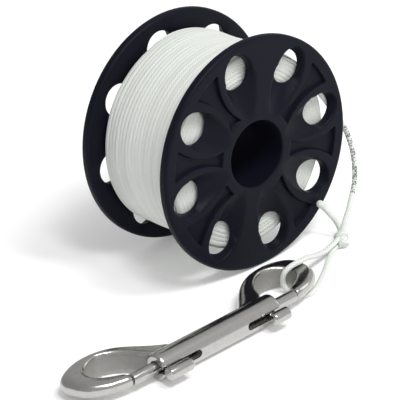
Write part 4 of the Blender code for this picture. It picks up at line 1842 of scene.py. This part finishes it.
@dataclass(frozen=True)
class BoltSnap:
    """Double-ended bolt snap: one cast body, and a sprung bolt with its knob at each end."""

    tree: WindingTree
    length: float = 0.1150
    middle: Triple = (-0.0570, -0.0574, 0.0)
    # Barrel
    barrel_length: float = 0.0562
    barrel_radius: float = 0.0052
    barrel_edge: float = 0.0007
    barrel_steps: int = 96
    round_steps: int = 6
    # Eyes, from the root on the barrel to the nose
    eye_reach: float = 0.0232
    eye_root: float = 0.0140
    eye_thickness: float = 0.0079
    eye_rounding: float = 0.0031
    nose_gap: float = 0.0393
    nose_radius: float = 0.0026
    nose_fade: Pair = (0.56, 0.94)
    crown: float = 0.00042
    crown_span: tuple[float, float, float, float] = (0.10, 0.38, 0.47, 0.68)
    draft: float = 0.28
    wall_power: float = 4.5
    outside_power: float = 2.25
    nose_round_share: float = 0.86
    nose_tip_shares: Pair = (0.97, 0.86)
    eye_stations: int = 72
    eye_sides: int = 36
    rim_samples: int = 12
    # Rough skin that the casting keeps inside the eyes and bores
    skin_reach: float = 0.0009
    skin_start: float = 1.6
    skin_top_share: float = 0.86
    skin_top_fade: float = 0.1
    bore_skin: float = 0.0002
    bore_skin_end: float = 0.0004
    # Bolts, with the slots that their knobs run in and the seats of their springs
    bolt_radius: float = 0.0023
    bolt_inner: float = 0.0210
    bolt_soft: float = 0.0006
    bolt_edge: float = 0.0002
    bolt_travel: float = 0.0113
    slot_width: float = 0.0030
    slot_steps: int = 13
    seat: float = 0.0045
    clearance: float = 0.0003
    # Knobs, left and right, and their necks
    knob_radius: float = 0.0024
    knob_lengths: Pair = (0.0106, 0.0076)
    knob_middles: Pair = (0.0234, 0.0244)
    knob_off: float = 0.0080
    knob_edges: Pair = (0.0004, 0.0011)
    neck_radius: float = 0.0012
    neck_depth: float = 0.0013
    neck_steps: int = 24
    # Springs
    wire: float = 0.0005
    spring_radius: float = 0.0021
    spring_turns: float = 9.0
    # Growing the casting together, truing its barrel and cutting it
    voxel: float = 0.00034
    smooth_rounds: int = 7
    skin_band: float = 0.00012
    true_end: float = 0.0012
    true_fade: float = 0.0008
    overrun: float = 0.0010
    cut_edges: Pair = (0.0001, 0.0001)
    sharp_angle: float = 38.0
    # Plan of an eye, in shares of the way from root to tip and of the reach
    outline: tuple[Pair, ...] = (
        (0.000, 0.198), (0.075, 0.310), (0.158, 0.465), (0.248, 0.632), (0.355, 0.792),
        (0.471, 0.892), (0.586, 0.934), (0.718, 0.942), (0.856, 0.902), (0.966, 0.800),
        (1.004, 0.648), (0.994, 0.485), (0.968, 0.322), (0.925, 0.195), (0.845, 0.080),
        (0.760, -0.005), (0.660, -0.062), (0.582, -0.090),
    )
    # Its opening in the same shares, from the nose to the root
    opening: tuple[Pair, ...] = (
        (0.582, 0.140), (0.610, 0.155), (0.672, 0.205), (0.745, 0.285), (0.795, 0.395),
        (0.803, 0.520), (0.765, 0.635), (0.690, 0.725), (0.591, 0.762), (0.494, 0.690),
        (0.414, 0.565), (0.370, 0.448), (0.338, 0.300), (0.290, 0.150),
    )

    def pose(self, spool: Flanges) -> Matrix:
        """Give the snap's place: barrel and eyes on the floor, eyes toward the spool.

        Args:
            spool: the spool, for its axis.

        Returns:
            The matrix from the snap's own frame to the row frame.
        """
        axis = spool.place()
        drop = self.barrel_radius - self.eye_thickness / 2
        roll = math.asin(drop / (self.eye_reach - self.eye_rounding))
        place = Vector(self.middle) + Vector((axis.x, axis.y, self.barrel_radius))
        return Matrix.Translation(place) @ Matrix.Rotation(-roll, 4, "X")

    def rim(self, shares: Sequence[Pair], side: int) -> list[Vector]:
        """Space an edge of an eye's ring, from its root to its nose.

        Args:
            shares: places on the edge, in shares of the way to the tip and of the reach.
            side: side of X.

        Returns:
            One place for each station of the ring.
        """
        root, span = self.eye_root, self.length / 2 - self.eye_root
        route = [(side * (root + a * span), b * self.eye_reach, 0) for a, b in shares]
        dense = catmull(route, self.rim_samples)
        return evenly(dense, path_length(dense) / (self.eye_stations - 0.5))[: self.eye_stations]

    def stock(self, share: float) -> float:
        """Give half the thickness of an eye's stock.

        Args:
            share: share of the way from the eye's root to its nose.

        Returns:
            Half the thickness in metres.
        """
        low, high = self.nose_fade
        full = self.eye_thickness / 2 + self.crown_lift(share)
        return full + (self.nose_radius - full) * eased((share - low) / (high - low))

    def crown_lift(self, share: float) -> float:
        """Give how much the far side of an eye stands up, at a share of the way to the nose."""
        rise, top, fall, end = self.crown_span
        return self.crown * eased(min((share - rise) / (top - rise), (end - share) / (end - fall)))

    def eye(self, side: int) -> bpy.types.Object:
        """Cast one eye: a ring with a flat inner wall and a full outer side, ending in its nose.

        Args:
            side: side of X.

        Returns:
            The closed ring in the snap's own frame.
        """
        outer, inner = self.rim(self.outline, side), self.rim(self.opening[::-1], side)
        angles = np.linspace(0, 2 * math.pi, self.eye_sides, endpoint=False)
        points: list[Triple] = []
        last = self.eye_stations - 1
        for i, (far, near) in enumerate(zip(outer, inner)):
            share = i / last
            fade = max(0.0, share - self.nose_round_share) / (1 - self.nose_round_share)
            wall = 2 + self.wall_power * (1 - fade)
            end = (1.0, *self.nose_tip_shares)[max(0, i - last + 2)]
            middle, half = (far + near) / 2, (far - near) / 2 * end
            high = self.stock(share) * end
            for a in angles:
                inside = math.cos(a) < 0
                power = 2 / (wall if inside else self.outside_power)
                u, v = self.rounded(math.cos(a), power), self.rounded(math.sin(a), power)
                lean = 1 + (self.draft * max(0.0, -v) if inside else 0.0)
                spot = middle + half * u * lean
                points.append((spot.x, spot.y, v * high + self.crown_lift(share)))
        faces = Bench.bands(0, self.eye_stations, self.eye_sides)
        for first in (0, last * self.eye_sides):
            faces.append(tuple(range(first, first + self.eye_sides)))
        item = Bench.form("eye", points, faces)
        Bench.weld(item)
        return item

    @staticmethod
    def rounded(value: float, power: float) -> float:
        """Raise a sine or a cosine to a power and keep its sign."""
        return math.copysign(abs(value) ** power, value)

    def along_x(self, item: bpy.types.Object, x: float) -> bpy.types.Object:
        """Lay a turned piece along X with its middle at x."""
        item.data.transform(Matrix.Translation((x, 0, 0)) @ Matrix.Rotation(math.pi / 2, 4, "Y"))
        return item

    def rounded_rod(
        self, name: str, radius: float, length: float, ends: Pair, steps: int = 48
    ) -> bpy.types.Object:
        """Turn a rod along Z with a rounding at each end.

        Args:
            name: the object's name.
            radius: its radius.
            length: its length.
            ends: rounding at the lower and the upper end.
            steps: points round it.

        Returns:
            The rod about the origin.
        """
        low, high = ends
        top = length / 2
        arc = np.linspace(0, math.pi / 2, self.round_steps)
        profile = [(0.0, -top)]
        profile += [(radius - low + low * math.sin(a), -top + low - low * math.cos(a)) for a in arc]
        profile += [(radius - high + high * math.cos(a), top - high + high * math.sin(a)) for a in arc]
        return Bench.lathe(name, profile + [(0.0, top)], steps)

    def body(self) -> bpy.types.Object:
        """Cast the body: barrel and eyes grown together, with bores and slots cut clean.

        Returns:
            The body in the snap's own frame.
        """
        size, edges = (self.barrel_radius, self.barrel_length), (self.barrel_edge, self.barrel_edge)
        barrel = self.rounded_rod("snap_casting", *size, edges, self.barrel_steps)
        item = self.along_x(barrel, 0.0)
        with Bench.opened(item) as shape:
            for end in End:
                eye = self.eye(end.value)
                shape.from_mesh(eye.data)
                Bench.drop(eye)
        Bench.modify(item, "REMESH", mode="VOXEL", voxel_size=self.voxel, adaptivity=0.0)
        Bench.modify(item, "SMOOTH", factor=0.5, iterations=self.smooth_rounds)
        self.true_barrel(item)
        length = self.barrel_length / 2 - self.seat + self.overrun
        for end in End:
            bore = self.rounded_rod("bore", self.bolt_radius + self.clearance, length, self.cut_edges)
            Bench.boolean(item, self.along_x(bore, end.value * (self.seat + length / 2)), "DIFFERENCE")
            Bench.boolean(item, self.slot(end.value), "DIFFERENCE")
        self.mark_skin(item)
        return item

    def true_barrel(self, item: bpy.types.Object) -> None:
        """Bring the barrel's skin back to its true radius after the smoothing.

        Args:
            item: the casting in the snap's own frame.
        """
        spots = Bench.spots(item)
        reach = np.hypot(spots[:, 1], spots[:, 2])
        near = np.clip(1 - np.abs(reach - self.barrel_radius) / self.skin_band, 0, 1)
        end = self.barrel_length / 2 - self.true_end
        near *= np.clip((end - np.abs(spots[:, 0])) / self.true_fade, 0, 1)
        scale = 1 + near ** 0.5 * (self.barrel_radius / reach - 1)
        spots[:, 1:] *= scale[:, None]
        item.data.vertices.foreach_set("co", spots.ravel())
        item.data.update()

    def mark_skin(self, item: bpy.types.Object) -> None:
        """Mark the inner walls of the eyes, where the casting's rough skin is left.

        Args:
            item: the casting in the snap's own frame.
        """
        spots = Bench.spots(item)
        gap, tall = np.full(len(spots), 1.0), np.full(len(spots), self.eye_thickness / 2)
        for end in End:
            for i, wall in enumerate(self.rim(self.opening[::-1], end.value)):
                away = np.hypot(spots[:, 0] - wall.x, spots[:, 1] - wall.y)
                tall = np.where(away < gap, self.stock(i / (self.eye_stations - 1)), tall)
                gap = np.minimum(gap, away)
        share = np.clip(self.skin_start - gap / self.skin_reach, 0, 1)
        height = np.abs(spots[:, 2]) / tall
        share *= np.clip((self.skin_top_share - height) / self.skin_top_fade, 0, 1)
        bore = self.bolt_radius + self.clearance + self.bore_skin
        deep = np.hypot(spots[:, 1], spots[:, 2]) < bore
        deep &= np.abs(spots[:, 0]) < self.barrel_length / 2 - self.bore_skin_end
        share = np.where(deep, 1.0, share)
        layer = item.data.attributes.new("cast_skin", "FLOAT", "POINT")
        layer.data.foreach_set("value", share)

    def knob_middle(self, side: int) -> float:
        """Give how far a knob's middle lies from the snap's middle."""
        return self.knob_middles[side > 0]

    def slot(self, side: int) -> bpy.types.Object:
        """Make the cutter of a knob's slot.

        Args:
            side: side of X.

        Returns:
            The cutter in the snap's own frame.
        """
        half, end = self.slot_width / 2, self.barrel_length / 2 + self.overrun
        inner = self.knob_middle(side) - self.bolt_travel - self.neck_radius - self.clearance
        arc = np.linspace(0, math.pi, self.slot_steps)
        outline = [(side * (inner + half - half * math.sin(a)), half * math.cos(a)) for a in arc]
        outline += [(side * end, -half), (side * end, half)]
        deep = self.barrel_radius + self.overrun
        tool = Bench.prism("slot", outline, deep)
        tool.data.transform(Matrix.Translation((0, -deep / 2, 0)) @ Matrix.Rotation(math.pi / 2, 4, "X"))
        return tool

    def bolt(self, end: End) -> bpy.types.Object:
        """Turn one bolt.

        Args:
            end: the end of the snap.

        Returns:
            The bolt in the snap's own frame.
        """
        outer = self.nose_gap - self.clearance
        edges = (self.bolt_edge, self.bolt_soft)[::end.value]
        name = end.name.lower() + "_bolt_rod"
        rod = self.rounded_rod(name, self.bolt_radius, outer - self.bolt_inner, edges)
        return self.along_x(rod, end.value * (outer + self.bolt_inner) / 2)

    def knob(self, end: End) -> bpy.types.Object:
        """Turn one thumb knob with its neck.

        Args:
            end: the end of the snap.

        Returns:
            The knob in the snap's own frame.
        """
        length = self.knob_lengths[end is End.RIGHT]
        middle = end.value * self.knob_middle(end.value)
        edges = self.knob_edges[::-end.value]
        item = self.rounded_rod(end.name.lower() + "_knob", self.knob_radius, length, edges)
        place = Matrix.Translation((middle, -self.knob_off, 0))
        item.data.transform(place @ Matrix.Rotation(math.pi / 2, 4, "Y"))
        tip = self.bolt_radius - self.neck_depth
        long = self.knob_off - tip
        neck = self.rounded_rod("neck", self.neck_radius, long, self.cut_edges, self.neck_steps)
        place = Matrix.Translation((middle, -(self.knob_off + tip) / 2, 0))
        neck.data.transform(place @ Matrix.Rotation(math.pi / 2, 4, "X"))
        Bench.boolean(item, neck, "UNION")
        return item

    def spring(self, end: End, material: bpy.types.Material) -> bpy.types.Object:
        """Wind one bolt spring.

        Args:
            end: the end of the snap.
            material: its material.

        Returns:
            The spring in the snap's own frame.
        """
        start = self.seat + self.clearance + self.wire / 2
        stop = self.bolt_inner - self.clearance - self.wire / 2
        radius = self.spring_radius - self.wire / 2
        run = Winding(
            self.spring_turns, radius, radius, start, stop, 0.0, self.wire, rows_per_turn=32, sides=8,
            pitch=2 * self.wire,
        )
        item = self.tree.wind(end.name.lower() + "_spring", run, material)
        item.data.transform(Matrix.Rotation(-end.value * math.pi / 2, 4, "Z"))
        return item

    def build(self, spool: Flanges) -> None:
        """Make and dress every piece of the snap.

        Args:
            spool: the spool, for its axis.
        """
        steel, wire = PolishedSteel().make(), SpringWire().make()
        pose = self.pose(spool)
        body = self.body()
        body.data.transform(pose)
        Bench.shade(body, self.sharp_angle)
        Bench.dress(body, steel, Body.SNAP, Slot.STEEL, "snap_body")
        for end, rides in ((End.LEFT, Body.LEFT_BOLT), (End.RIGHT, Body.RIGHT_BOLT)):
            label = end.name.lower()
            for item, node in ((self.bolt(end), "_bolt"), (self.knob(end), "_thumb_knob")):
                item.data.transform(pose)
                Bench.shade(item, self.sharp_angle)
                Bench.dress(item, steel, rides, Slot.STEEL, label + node)
            spring = self.spring(end, wire)
            spring.data.transform(pose)
            Bench.dress(spring, wire, Body.SNAP, Slot.SPRING, label + "_bolt_spring")
            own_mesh(spring)


def main() -> None:
    """Build the studio, the line, the spool and the snap in order."""
    logging.basicConfig(level=logging.INFO, format="%(message)s")
    Studio().build()
    spool, tree = Flanges(), WindingTree()
    line = BraidedLine().make()
    wound = WoundLine(spool, tree)
    FreeLine(wound).build(line)
    wound.build(line)
    spool.build()
    BoltSnap(tree).build(spool)


if __name__ == "__main__":
    main()
